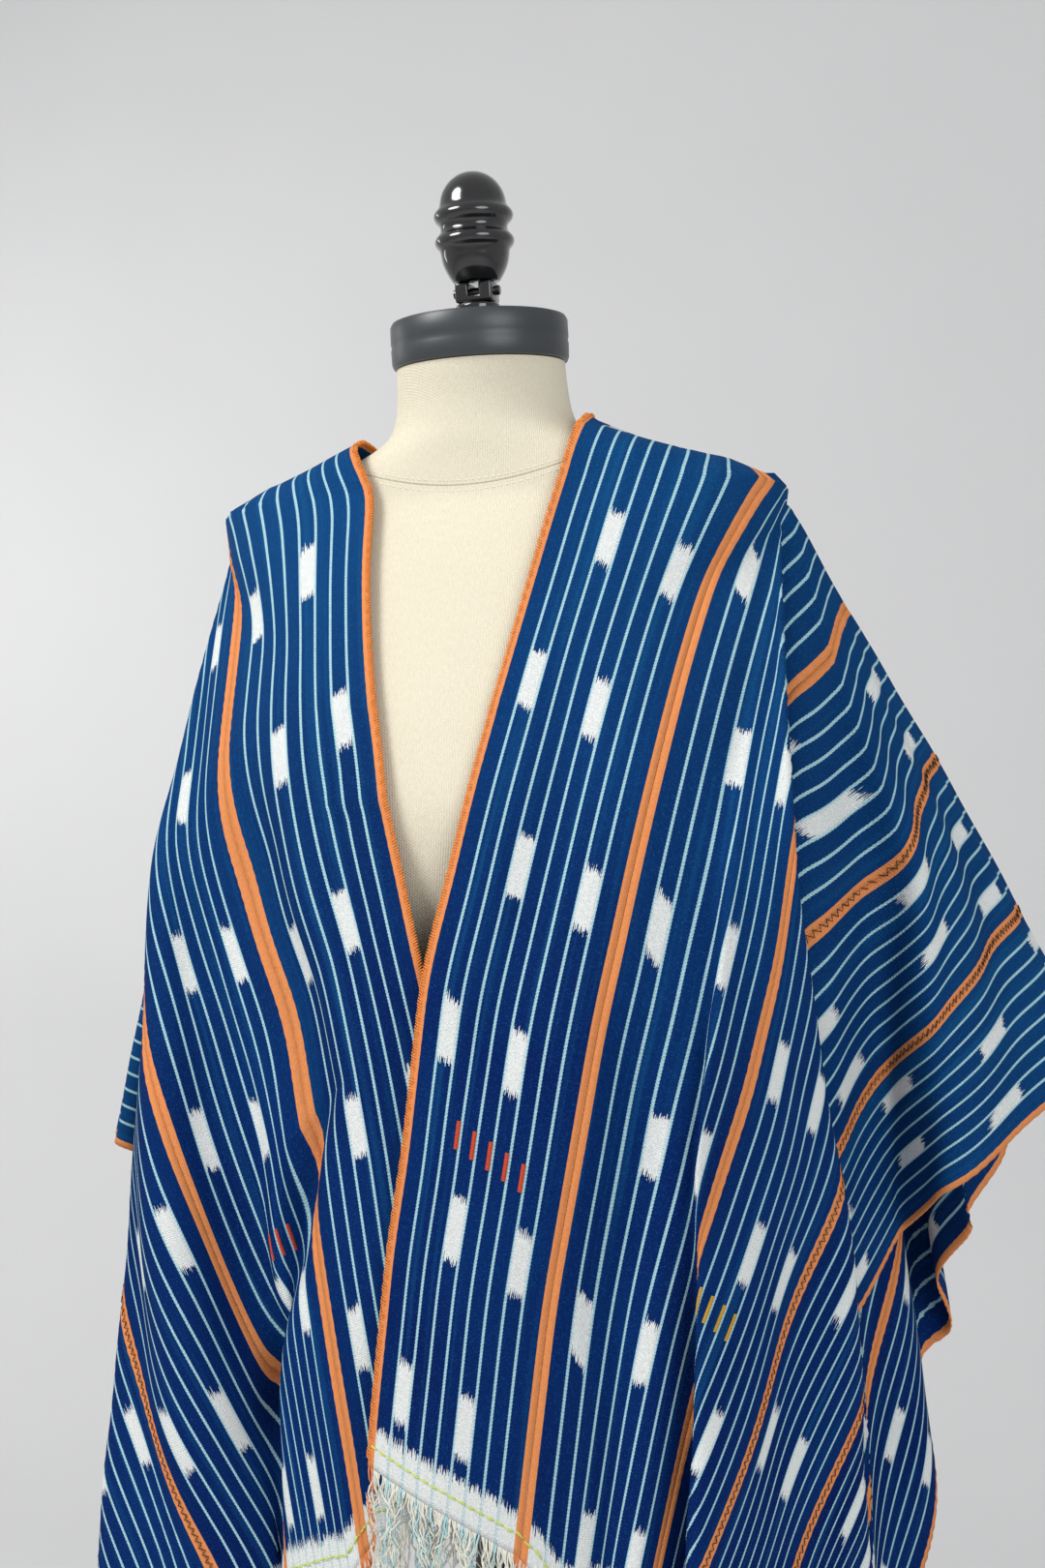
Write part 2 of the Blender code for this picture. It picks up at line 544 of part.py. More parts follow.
def make_fringe(drape, side_name, half):
    """A narrow band under the hem with tapering locks standing out of its lower edge."""
    sign = -1 if half == "front" else 1
    cells = CELLS_ACROSS * STRIPS
    count = cells * COLUMNS_PER_CELL + 1
    hem = np.linspace(SEAM_GAP, HALF_WIDTH - SEAM_GAP, cells + 1)
    t = sign * (CLOTH_LENGTH + BAND_GAP + np.array([0, BAND_HEIGHT]))
    s_grid, t_grid = np.meshgrid(hem, t, indexing="ij")
    middle, normal = drape.points(s_grid, t_grid), drape.normals(s_grid, t_grid)
    offset = CLOTH_THICKNESS / 2 * normal
    column = np.arange(count)[:, None] / COLUMNS_PER_CELL * np.ones(2)
    faces_of_band = [read_table(middle + side * offset, column, np.arange(2) * np.ones((count, 1))) for side in (1, -1)]
    vertices = list(np.concatenate([face.reshape(-1, 3) for face in faces_of_band]))

    def at(face, i, j):
        return face * count * 2 + i * 2 + j

    faces = []
    for i in range(count - 1):
        faces.append((at(0, i, 0), at(0, i, 1), at(0, i + 1, 1), at(0, i + 1, 0)))
        faces.append((at(1, i, 0), at(1, i + 1, 0), at(1, i + 1, 1), at(1, i, 1)))
        faces.append((at(0, i, 0), at(0, i + 1, 0), at(1, i + 1, 0), at(1, i, 0)))
        root = (at(0, i, 1), at(0, i + 1, 1), at(1, i + 1, 1), at(1, i, 1))
        if i % 2:
            faces.append(root)
            continue
        centre = sum(vertices[v] for v in root) / 4
        sway = LOCK_SWAY * math.sin(1.7 * i)
        along = vertices[root[1]] - vertices[root[0]]
        along /= np.linalg.norm(along)
        length = LOCK_LENGTH * (1 + 0.10 * math.sin(2.3 * i))
        tip = centre + sway * along + np.array([0, 0, -length])
        lower = []
        for v in root:
            lower.append(len(vertices))
            vertices.append(tip + (vertices[v] - centre) * LOCK_TAPER)
        for a in range(4):
            b = (a + 1) % 4
            faces.append((root[a], root[b], lower[b], lower[a]))
        faces.append(tuple(lower))
    for i in (0, count - 1):
        faces.append((at(0, i, 0), at(0, i, 1), at(1, i, 1), at(1, i, 0)))
    face_out(add_object(f"fringe_{half}_{side_name}", vertices, faces, "fringe_thread"))


def form_ring(z, sides):
    """One section of the form, just inside the surface the cloth is laid on, as the cloth's
    flat cells cut its corners. Towards the neck the section tilts forward."""
    angle = np.arange(sides) * 2 * math.pi / sides
    power = section(z, ROUND)
    c, s = np.cos(angle), np.sin(angle)
    depth = np.where(s < 0, section(z, FRONT), section(z, BACK)) - FORM_INSET
    x = (section(z, HALF) - FORM_INSET) * np.sign(c) * np.abs(c) ** (2 / power)
    y = depth * np.sign(s) * np.abs(s) ** (2 / power)
    neck = ease((z - 1.425) / (NECK_TOP - 1.425))
    height = z + y * math.tan(NECK_TILT) * neck - FORM_INSET * (1 - neck)
    return np.stack([x, y + section(z, MIDDLE), height], axis=-1)


def make_form():
    heights = []
    for (low, *_), (high, *_) in zip(FORM_SECTIONS, FORM_SECTIONS[1:]):
        heights.extend(np.linspace(low, high, 2 if high - low > 0.045 else 1, endpoint=False))
    heights.append(FORM_SECTIONS[-1][0])
    rings = [form_ring(z, FORM_SIDES) for z in heights]
    vertices = np.concatenate(rings)
    faces = []
    for i in range(len(rings) - 1):
        for j in range(FORM_SIDES):
            k = (j + 1) % FORM_SIDES
            faces.append((i * FORM_SIDES + j, i * FORM_SIDES + k, (i + 1) * FORM_SIDES + k, (i + 1) * FORM_SIDES + j))
    faces.append(tuple(reversed(range(FORM_SIDES))))
    faces.append(tuple((len(rings) - 1) * FORM_SIDES + j for j in range(FORM_SIDES)))
    face_out(add_object("form_torso", vertices, faces, "form_linen"))


def cap_frame():
    """The frame on the neck's tilted top, its z along the neck."""
    return Matrix.Translation((0, section(NECK_TOP, MIDDLE), NECK_TOP)) @ Matrix.Rotation(NECK_TILT, 4, "X")


def turned(name, profile, sides, finish, frame):
    """A body turned about the frame's z from (height, radius), closed on the axis."""
    shape = bmesh.new()
    rings = []
    for height, radius in profile:
        if radius == 0:
            rings.append([shape.verts.new((0, 0, height))])
            continue
        angles = [2 * math.pi * k / sides for k in range(sides)]
        rings.append([shape.verts.new((radius * math.cos(a), radius * math.sin(a), height)) for a in angles])
    for lower, upper in zip(rings, rings[1:]):
        for k in range(sides):
            n = (k + 1) % sides
            corners = [lower[k % len(lower)], lower[n % len(lower)], upper[n % len(upper)], upper[k % len(upper)]]
            shape.faces.new(list(dict.fromkeys(corners)))
    bmesh.ops.transform(shape, matrix=frame, verts=shape.verts)
    mesh = bpy.data.meshes.new(name)
    shape.to_mesh(mesh)
    shape.free()
    mesh.materials.append(material(finish))
    mesh.shade_smooth()
    mesh.set_sharp_from_angle(angle=math.radians(35))
    obj = bpy.data.objects.new(name, mesh)
    bpy.context.scene.collection.objects.link(obj)
    face_out(obj)
    return obj


def make_cap_and_finial():
    frame = cap_frame()
    low, high = PART_GAP, PART_GAP + CAP_HEIGHT
    cap = [
        (low, 0), (low, CAP_RADIUS - CAP_BEVEL), (low + CAP_BEVEL, CAP_RADIUS),
        (high - CAP_BEVEL, CAP_RADIUS), (high - CAP_BEVEL / 3, CAP_RADIUS - CAP_BEVEL / 3),
        (high, CAP_RADIUS - CAP_BEVEL), (high, 0),
    ]
    turned("neck_cap", cap, 48, "cap_black", frame)
    seat = frame @ Matrix.Translation((0, 0, high + PART_GAP))
    turned("finial", [(z, r) for z, r in FINIAL_PROFILE], FINIAL_SIDES, "finial_black", seat)
    make_yoke(seat)


def make_yoke(seat):
    """The forked lug under the finial: a round foot with two ears and a slot between them."""
    foot = [(0, 0), (0, FOOT_RADIUS), (FOOT_HEIGHT * 0.6, FOOT_RADIUS), (FOOT_HEIGHT, FOOT_RADIUS * 0.8), (FOOT_HEIGHT, 0)]
    turned("yoke_foot", foot, 20, "finial_black", seat)
    width, depth = YOKE_SIZE
    ear = (width - YOKE_SLOT) / 2
    base = FOOT_HEIGHT + PART_GAP
    bm = bmesh.new()
    low, high = base, FINIAL_PROFILE[0][0] - PART_GAP
    floor = low + 0.004
    outline = [
        (-width / 2, low), (width / 2, low), (width / 2, high), (width / 2 - ear, high),
        (width / 2 - ear, floor), (-width / 2 + ear, floor), (-width / 2 + ear, high), (-width / 2, high),
    ]
    face = bm.faces.new([bm.verts.new((x, -depth / 2, z)) for x, z in outline])
    made = bmesh.ops.extrude_face_region(bm, geom=[face])
    moved = [item for item in made["geom"] if isinstance(item, bmesh.types.BMVert)]
    bmesh.ops.translate(bm, verts=moved, vec=(0, depth, 0))
    bmesh.ops.transform(bm, matrix=seat, verts=bm.verts)
    mesh = bpy.data.meshes.new("finial_yoke")
    bm.to_mesh(mesh)
    bm.free()
    mesh.materials.append(material("finial_black"))
    obj = bpy.data.objects.new("finial_yoke", mesh)
    bpy.context.scene.collection.objects.link(obj)
    face_out(obj)


def make_stand():
    upright = Matrix.Identity(4)
    bottom = FORM_SECTIONS[0][0] - FORM_INSET - PART_GAP
    pole_bottom = BASE_HEIGHT + HUB_HEIGHT + PART_GAP
    pole = [
        (pole_bottom, 0), (pole_bottom, POLE_RADIUS), (bottom - FLANGE_HEIGHT, POLE_RADIUS),
        (bottom - FLANGE_HEIGHT, FLANGE_RADIUS), (bottom, FLANGE_RADIUS), (bottom, 0),
    ]
    turned("stand_pole", pole, 24, "stand_metal", upright)
    base = [
        (0, 0), (0, BASE_RADIUS - 0.002), (0.002, BASE_RADIUS), (BASE_HEIGHT - 0.004, BASE_RADIUS),
        (BASE_HEIGHT, BASE_RADIUS - 0.006), (BASE_HEIGHT + 0.002, HUB_RADIUS),
        (BASE_HEIGHT + HUB_HEIGHT, HUB_RADIUS * 0.7), (BASE_HEIGHT + HUB_HEIGHT, 0),
    ]
    turned("stand_base", base, 48, "stand_metal", upright)


def main():
    clear_scene()
    for side_name in SIDES:
        drape = SideDrape(side_name)
        make_strips(drape, side_name)
        for half in WARPS:
            make_fringe(drape, side_name, half)
    make_form()
    make_cap_and_finial()
    make_stand()


main()
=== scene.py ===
import math
from functools import partial
from types import SimpleNamespace

import bpy
import numpy as np
from mathutils import Matrix, Vector


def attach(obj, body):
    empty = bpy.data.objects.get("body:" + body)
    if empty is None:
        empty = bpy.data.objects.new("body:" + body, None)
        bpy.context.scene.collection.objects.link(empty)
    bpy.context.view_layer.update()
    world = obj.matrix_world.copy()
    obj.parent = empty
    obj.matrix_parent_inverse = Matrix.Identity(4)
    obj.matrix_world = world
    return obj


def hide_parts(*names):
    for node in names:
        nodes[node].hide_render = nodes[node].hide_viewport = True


# Shoulder wrap of ten handwoven strips on a linen dress form.
# Metres, floor at z = 0, the form faces -Y.

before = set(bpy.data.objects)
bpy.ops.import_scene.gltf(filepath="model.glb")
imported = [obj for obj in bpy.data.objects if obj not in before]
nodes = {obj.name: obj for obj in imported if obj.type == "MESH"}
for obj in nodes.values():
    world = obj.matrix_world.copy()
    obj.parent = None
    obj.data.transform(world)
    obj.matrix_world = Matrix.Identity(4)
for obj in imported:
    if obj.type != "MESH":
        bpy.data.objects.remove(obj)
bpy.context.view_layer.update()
print("frame loaded")

cloth = {
    "stripWidth": 0.115,
    "strips": 5,
    "halfWidth": 0.575,
    "length": 0.71,
    "thickness": 0.0012,
    "seamGap": 0.0003,
    "cellsAcross": 32,
    "cellsAlong": 356,
}

# how the cloth lies over the form, the same figures as the solids
drape = {
    "overForm": 0.0036,
    "shoulderLift": 0.0024,
    "shoulderReach": 0.14,
    "bladeHeight": 1.270,
    "backDepth": 0.108,
    "backBow": 0.9,
    "backCurve": 1.8,
    "slitCloses": 0.050,
    "sideCloses": 0.340,
    "breastCrown": 0.010,
    "crownDrop": 0.2,
    "ridgeRound": 0.020,
    "ridgeReach": 0.6,
    "tipRound": 0.035,
    "tipReach": 0.5,
    "longestDrop": 0.78,
    "warpSteps": 157,
    "railPasses": {"slit": 12, "outer": 60},
}

# Sections of the form: height, half width, depth to the front, depth to the back,
# y of the section's middle, roundness (2 is an ellipse, more is boxier)
formSections = [
    (0.770, 0.150, 0.095, 0.105, 0.005, 2.3),
    (0.800, 0.163, 0.102, 0.113, 0.005, 2.3),
    (0.850, 0.166, 0.104, 0.116, 0.005, 2.3),
    (0.920, 0.148, 0.096, 0.098, 0.000, 2.3),
    (0.990, 0.118, 0.088, 0.080, 0.000, 2.3),
    (1.050, 0.120, 0.095, 0.082, -0.002, 2.3),
    (1.110, 0.134, 0.114, 0.088, -0.004, 2.4),
    (1.170, 0.148, 0.124, 0.094, -0.005, 2.4),
    (1.230, 0.156, 0.114, 0.100, -0.003, 2.4),
    (1.290, 0.168, 0.096, 0.102, 0.000, 2.3),
    (1.340, 0.183, 0.080, 0.094, 0.002, 2.2),
    (1.372, 0.188, 0.068, 0.078, 0.002, 2.1),
    (1.384, 0.161, 0.066, 0.070, -0.002, 2.0),
    (1.396, 0.121, 0.063, 0.062, -0.007, 2.0),
    (1.407, 0.084, 0.061, 0.055, -0.012, 2.0),
    (1.417, 0.066, 0.058, 0.050, -0.016, 2.0),
    (1.430, 0.060, 0.056, 0.048, -0.021, 2.0),
    (1.445, 0.0575, 0.055, 0.051, -0.026, 2.0),
    (1.460, 0.0565, 0.0555, 0.0555, -0.030, 2.0),
]

# Each side's x is measured towards its own shoulder, so that both read alike.
# slit and outer: the front edge and the warp under the shoulder tip, as drop, x, y.
# front and back: the folds of the cone from the inner panel round to the ridge, as name,
# rounding, cone angle in the flat cloth at each of the radii (None: shared out by length),
# and (x, y) at each of the radii. The angle is 90 on the inner panel and 0 on the ridge.
foldRadii = (0.12, 0.25, 0.45, 0.70)
rightDrape = {
    "towards": 1, "tipS": 0.143, "neckHeight": 1.43, "tipHeight": 1.3765,
    "ridge": (0.456, 0.25, -0.855),
    "slit": [
        (0, 0.066, 0), (0.008, 0.0685, -0.03), (0.02, 0.068, -0.05),
        (0.039, 0.0665, -0.064), (0.065, 0.06, -0.072), (0.12, 0.05, -0.092),
        (0.175, 0.0395, -0.112), (0.232, 0.028, -0.128), (0.363, 0, -0.147),
        (0.464, -0.01, -0.149), (0.521, -0.02, -0.149), (0.72, -0.04, -0.149),
    ],
    "outer": [
        (0, 0.19, 0.004), (0.13, 0.1675, -0.078), (0.2165, 0.1525, -0.108),
        (0.33, 0.13, -0.12), (0.41, 0.115, -0.122), (0.4965, 0.098, -0.124),
        (0.72, 0.072, -0.13),
    ],
    "front": [
        ("breast", 0.02, None, (0.182, -0.052), (0.164, -0.104), (0.138, -0.118), (0.11, -0.128)),
        ("behind pleat", 0.012, None, (0.184, -0.052), (0.171, -0.1), (0.155, -0.102), (0.162, -0.088)),
        ("pleat", 0.012, (82, 85, 82, 72), (0.187, -0.052), (0.176, -0.104), (0.152, -0.13), (0.15, -0.138)),
        ("side front", 0.03, None, (0.191, -0.05), (0.192, -0.098), (0.184, -0.082), (0.194, -0.098)),
        ("side valley", 0.026, None, (0.194, -0.048), (0.2, -0.094), (0.206, -0.05), (0.208, -0.052)),
        ("front fold", 0.018, (72, 69, 62, 50),
         (0.199, -0.05), (0.214, -0.094), (0.238, -0.002), (0.262, -0.004)),
        ("armhole valley", 0.028, None, (0.182, -0.02), (0.168, -0.044), (0.152, 0.014), (0.17, 0.024)),
        ("wing start", 0.02, (50, 46, 42, 32), (0.202, -0.022), (0.21, -0.052), (0.224, 0.034), (0.24, 0.05)),
        ("wing valley", 0.016, None, (0.218, -0.006), (0.246, 0.016), (0.254, 0.086), (0.276, 0.11)),
        ("wing fold", 0.016, (40, 36, 20, 8), (0.224, -0.004), (0.27, 0), (0.29, 0.022), (0.32, 0.04)),
        ("wing", 0.03, None, (0.236, 0.012), (0.29, 0.03), (0.345, 0.07), (0.395, 0.09)),
    ],
    "back": [
        ("blade valley", 0.02, None, (0.186, 0.052), (0.18, 0.082), (0.176, 0.078), (0.174, 0.072)),
        ("blade fold", 0.02, None, (0.191, 0.068), (0.191, 0.128), (0.192, 0.16), (0.196, 0.17)),
        ("back valley", 0.02, None, (0.198, 0.05), (0.21, 0.084), (0.224, 0.084), (0.24, 0.08)),
        ("back fold", 0.022, None, (0.207, 0.07), (0.228, 0.136), (0.256, 0.186), (0.284, 0.2)),
        ("wing valley", 0.022, None, (0.215, 0.048), (0.25, 0.08), (0.292, 0.098), (0.33, 0.104)),
        ("wing fold", 0.024, None, (0.23, 0.064), (0.28, 0.128), (0.346, 0.19), (0.41, 0.23)),
    ],
}
leftDrape = {
    "towards": -1, "tipS": 0.13, "neckHeight": 1.4125, "tipHeight": 1.3765,
    "ridge": (0.207, -0.002, -0.978),
    "slit": [
        (0, 0.079, 0), (0.007, 0.0735, -0.03), (0.018, 0.0635, -0.052),
        (0.034, 0.06, -0.065), (0.087, 0.0565, -0.083), (0.143, 0.048, -0.104),
        (0.198, 0.035, -0.122), (0.255, 0.024, -0.131), (0.341, 0.003, -0.135),
        (0.441, -0.02, -0.134), (0.72, -0.067, -0.131),
    ],
    "outer": [
        (0, 0.19, 0.004), (0.13, 0.1715, -0.07), (0.2115, 0.168, -0.092),
        (0.2865, 0.142, -0.102), (0.3365, 0.118, -0.104), (0.4165, 0.104, -0.106),
        (0.5165, 0.08, -0.124), (0.72, 0.04, -0.132),
    ],
    "front": [
        ("pleat", 0.014, (84, 86.5, 87, 80), (0.183, -0.05), (0.172, -0.098), (0.11, -0.11), (0.104, -0.138)),
        ("behind pleat", 0.014, None, (0.185, -0.05), (0.178, -0.099), (0.118, -0.102), (0.098, -0.096)),
        ("side front", 0.03, None, (0.187, -0.05), (0.19, -0.104), (0.17, -0.142), (0.17, -0.146)),
        ("front fold", 0.02, (74, 72, 68, 63),
         (0.19, -0.048), (0.206, -0.086), (0.226, -0.104), (0.232, -0.108)),
        ("armhole valley", 0.016, None, (0.182, -0.028), (0.166, -0.04), (0.136, -0.05), (0.138, -0.056)),
        ("wing fold", 0.018, (52, 48, 40, 30),
         (0.205, -0.018), (0.228, -0.024), (0.238, -0.022), (0.246, -0.02)),
        ("wing valley", 0.016, None, (0.186, -0.012), (0.172, -0.006), (0.157, 0.002), (0.16, 0.004)),
        ("wing valley", 0.016, None, (0.192, 0.006), (0.182, 0.022), (0.172, 0.038), (0.18, 0.044)),
        ("wing", 0.03, (7, 7, 7, 7), (0.206, -0.004), (0.232, -0.006), (0.268, -0.012), (0.312, -0.014)),
    ],
    "back": [
        ("blade valley", 0.02, None, (0.184, 0.052), (0.172, 0.08), (0.158, 0.074), (0.148, 0.07)),
        ("blade fold", 0.02, None, (0.188, 0.066), (0.182, 0.122), (0.176, 0.154), (0.176, 0.166)),
        ("back valley", 0.02, None, (0.194, 0.048), (0.196, 0.08), (0.198, 0.08), (0.206, 0.08)),
        ("back fold", 0.032, None, (0.202, 0.062), (0.212, 0.12), (0.226, 0.152), (0.246, 0.168)),
        ("wing valley", 0.022, None, (0.204, 0.036), (0.222, 0.062), (0.242, 0.068), (0.266, 0.07)),
        ("wing fold", 0.024, None, (0.216, 0.038), (0.248, 0.084), (0.282, 0.124), (0.326, 0.144)),
    ],
}
sideDrapes = {"right": rightDrape, "left": leftDrape}

sectionHeights = [row[0] for row in formSections]
halfWide, toFront, toBack, middleY, roundness = 1, 2, 3, 4, 5


def section(z, column):
    return np.interp(z, sectionHeights, [row[column] for row in formSections])


def formLevel(points, swell):
    # 1 on the form swollen by this much, less inside it, more outside it.
    x, y, z = points[..., 0], points[..., 1], points[..., 2] - swell
    middle = section(z, middleY)
    depth = np.where(y < middle, section(z, toFront), section(z, toBack)) + swell
    power = section(z, roundness)
    across = np.abs(x) / (section(z, halfWide) + swell)
    along = np.abs(y - middle) / depth
    return (across**power + along**power + 1e-12) ** (1 / power)


def pushOut(points, swell):
    # Moves what lies inside the swollen form out to its surface, along the level's slope.
    points = points.copy()
    nudge = 0.0005
    longestMove = 0.02
    for _ in range(8):
        slope = np.stack(
            [
                formLevel(points + nudge * axis, swell) - formLevel(points - nudge * axis, swell)
                for axis in np.eye(3)
            ],
            axis=-1,
        ) / (2 * nudge)
        short = np.maximum(1 - formLevel(points, swell), 0)
        move = slope * (short / np.maximum((slope**2).sum(-1), 1e-6))[..., None]
        size = np.linalg.norm(move, axis=-1, keepdims=True)
        points += move * np.minimum(1, longestMove / np.maximum(size, 1e-9))
    return points


def ease(t):
    t = np.clip(t, 0, 1)
    return t * t * (3 - 2 * t)


def settled(path, passes):
    # A path with its bends eased, its ends kept.
    path = path.copy()
    for _ in range(passes):
        path[1:-1] = 0.25 * path[:-2] + 0.5 * path[1:-1] + 0.25 * path[2:]
    return path


def unit(vectors):
    return vectors / np.linalg.norm(vectors, axis=-1, keepdims=True)


def between(at, known, points):
    # Points read at any place along the places where they are known.
    return np.stack([np.interp(at, known, points[:, axis]) for axis in range(points.shape[1])], axis=-1)


def atLengths(path, lengths):
    run = np.concatenate([[0], np.cumsum(np.linalg.norm(np.diff(path, axis=0), axis=1))])
    return between(lengths, run, path)


def rail(side, table, column, drop):
    # A column of the slit or outer table as a smooth function of the drop.
    rows = side[table]
    fine = np.linspace(rows[0][0], rows[-1][0], 200)
    value = np.interp(fine, [row[0] for row in rows], [row[column] for row in rows])
    return np.interp(drop, fine, settled(value[:, None], drape["railPasses"][table])[:, 0])


def overForm(path):
    # A warp's path, laid on the form wherever it would pass through it.
    path = settled(pushOut(path, drape["overForm"]), 10)
    return pushOut(path, drape["overForm"])


def frontWarp(side, k, lengths):
    # The front half of the warp at a share k of the way from the slit to the tip.
    top = side["neckHeight"] * (1 - k) + side["tipHeight"] * k
    drop = np.linspace(0, drape["longestDrop"], drape["warpSteps"])
    x = rail(side, "slit", 1, drop) * (1 - k) + rail(side, "outer", 1, drop) * k
    y = rail(side, "slit", 2, drop) * (1 - k) + rail(side, "outer", 2, drop) * k
    y = y - drape["breastCrown"] * math.sin(math.pi * k) * ease(drop / drape["crownDrop"])
    return atLengths(overForm(np.stack([x, y, top - drop], axis=-1)), lengths)


def backWarp(side, k, lengths):
    # The back half: it draws in to the centre seam and hangs from the shoulder blades.
    top = side["neckHeight"] * (1 - k) + side["tipHeight"] * k
    startX = side["slit"][0][1] * (1 - k) + side["outer"][0][1] * k
    startY = side["slit"][0][2] * (1 - k) + side["outer"][0][2] * k
    drop = np.linspace(0, drape["longestDrop"], drape["warpSteps"])
    x = startX + (k * side["tipS"] - startX) * ease(drop / (drape["slitCloses"] + drape["sideCloses"] * k))
    backY = drape["backDepth"] - drape["backBow"] * x * x
    fall = 1 - (1 - np.clip(drop / (top - drape["bladeHeight"]), 0, 1)) ** drape["backCurve"]
    y = startY + (backY - startY) * fall
    path = overForm(np.stack([x, y, top - drop], axis=-1))
    path[:, 0] = np.maximum(path[:, 0], 0)
    return atLengths(path, lengths)


warpHalves = {"front": frontWarp, "back": backWarp}


def roundedCorners(corners, rounds, steps=10):
    # A polyline with its corners rounded off, and the index of each corner's middle.
    line, middles = [corners[0]], [0]
    t = np.linspace(0, 1, steps + 1)[:, None]
    for i in range(1, len(corners) - 1):
        before, corner, after = corners[i - 1 : i + 2]
        beforeLength = np.linalg.norm(before - corner)
        afterLength = np.linalg.norm(after - corner)
        cut = min(rounds[i], 0.48 * beforeLength, 0.48 * afterLength)
        first = corner + (before - corner) * cut / beforeLength
        last = corner + (after - corner) * cut / afterLength
        line.extend((1 - t) ** 2 * first + 2 * t * (1 - t) * corner + t**2 * last)
        middles.append(len(line) - 1 - steps // 2)
    return np.array(line + [corners[-1]]), middles + [len(line)]


def ring(side, half, radius, start, tip):
    # Directions from the tip along one ring of the cone, with the cone angle of each.
    ridge, first = unit(np.array(side["ridge"])), unit(start - tip)
    steepest = 0.96
    corners, rounds, angles = [first * radius], [0], [90.0]
    for _, rounding, angle, *spots in side[half]:
        beyond = [1.4 * last - 0.4 * inner for last, inner in zip(spots[-1], spots[-2])]
        places = np.array([tip[:2], *spots, beyond])
        radii = (0, *foldRadii, 0.95)
        spot = between(radius, radii, places) - tip[:2]
        spot *= min(1, steepest * radius / max(np.linalg.norm(spot), 1e-9))
        corners.append(np.array([*spot, -math.sqrt(radius**2 - (spot**2).sum())]))
        rounds.append(rounding * min(1, radius / 0.3))
        angles.append(None if angle is None else float(np.interp(radius, foldRadii, angle)))
    line, middles = roundedCorners(np.array(corners + [ridge * radius]), rounds + [0])
    line = unit(line)
    turns = np.arccos(np.clip((line[1:] * line[:-1]).sum(1), -1, 1))
    run = np.concatenate([[0], np.cumsum(turns)])
    known = [(run[m], a) for m, a in zip(middles, angles + [0.0]) if a is not None]
    return line, np.interp(run, [k[0] for k in known], [k[1] for k in known])


def readTable(table, row, column):
    # Bilinear reading of a table at fractional rows and columns.
    row = np.clip(row, 0, table.shape[0] - 1.001)
    column = np.clip(column, 0, table.shape[1] - 1.001)
    i, j = row.astype(int), column.astype(int)
    a, b = (row - i)[..., None], (column - j)[..., None]
    upper = table[i, j] * (1 - b) + table[i, j + 1] * b
    lower = table[i + 1, j] * (1 - b) + table[i + 1, j + 1] * b
    return upper * (1 - a) + lower * a


class HalfDrape:
    # The front or the back half of one side, read at any s and t.

    lengthStep, radiusStep, angleStep = 0.005, 0.01, 0.5
    warps, coneReach, conePasses = 24, 0.96, 8

    def __init__(self, side, half):
        self.side = side
        lengths = np.arange(0, drape["longestDrop"], self.lengthStep)
        shares = np.linspace(0, 1, self.warps)
        self.inner = np.array([warpHalves[half](side, share, lengths) for share in shares])
        self.tip = self.inner[-1, 0]
        degrees = np.arange(0, 90 + self.angleStep, self.angleStep)
        radii = np.arange(0, self.coneReach, self.radiusStep)
        table = np.zeros((len(radii), len(degrees), 3))
        for i, radius in enumerate(np.maximum(radii, self.radiusStep)):
            start = atLengths(self.inner[-1], [radius])[0]
            line, angle = ring(side, half, radius, start, self.tip)
            table[i] = between(degrees, angle[::-1], line[::-1])
        self.cone = unit(settled(table, self.conePasses))
        # the cone's edge is moved onto the warp that it leaves from
        self.edgeRadii = radii[: len(lengths) // 2 + 1]
        edge = self.tip + self.cone[: len(self.edgeRadii), -1] * self.edgeRadii[:, None]
        self.edgeMiss = atLengths(self.inner[-1], self.edgeRadii) - edge

    def points(self, s, t):
        tipS = self.side["tipS"]
        inner = readTable(self.inner, s / tipS * (self.warps - 1), t / self.lengthStep)
        out = np.maximum(s - tipS, 0)
        radius = np.hypot(out, t)
        angle = np.degrees(np.arctan2(t, np.maximum(out, 1e-9)))
        direction = unit(readTable(self.cone, radius / self.radiusStep, angle / self.angleStep))
        miss = between(radius, self.edgeRadii, self.edgeMiss) * ease((angle - 45) / 45)[..., None]
        cone = self.tip + direction * radius[..., None] + miss
        return np.where((s <= tipS)[..., None], inner, cone)


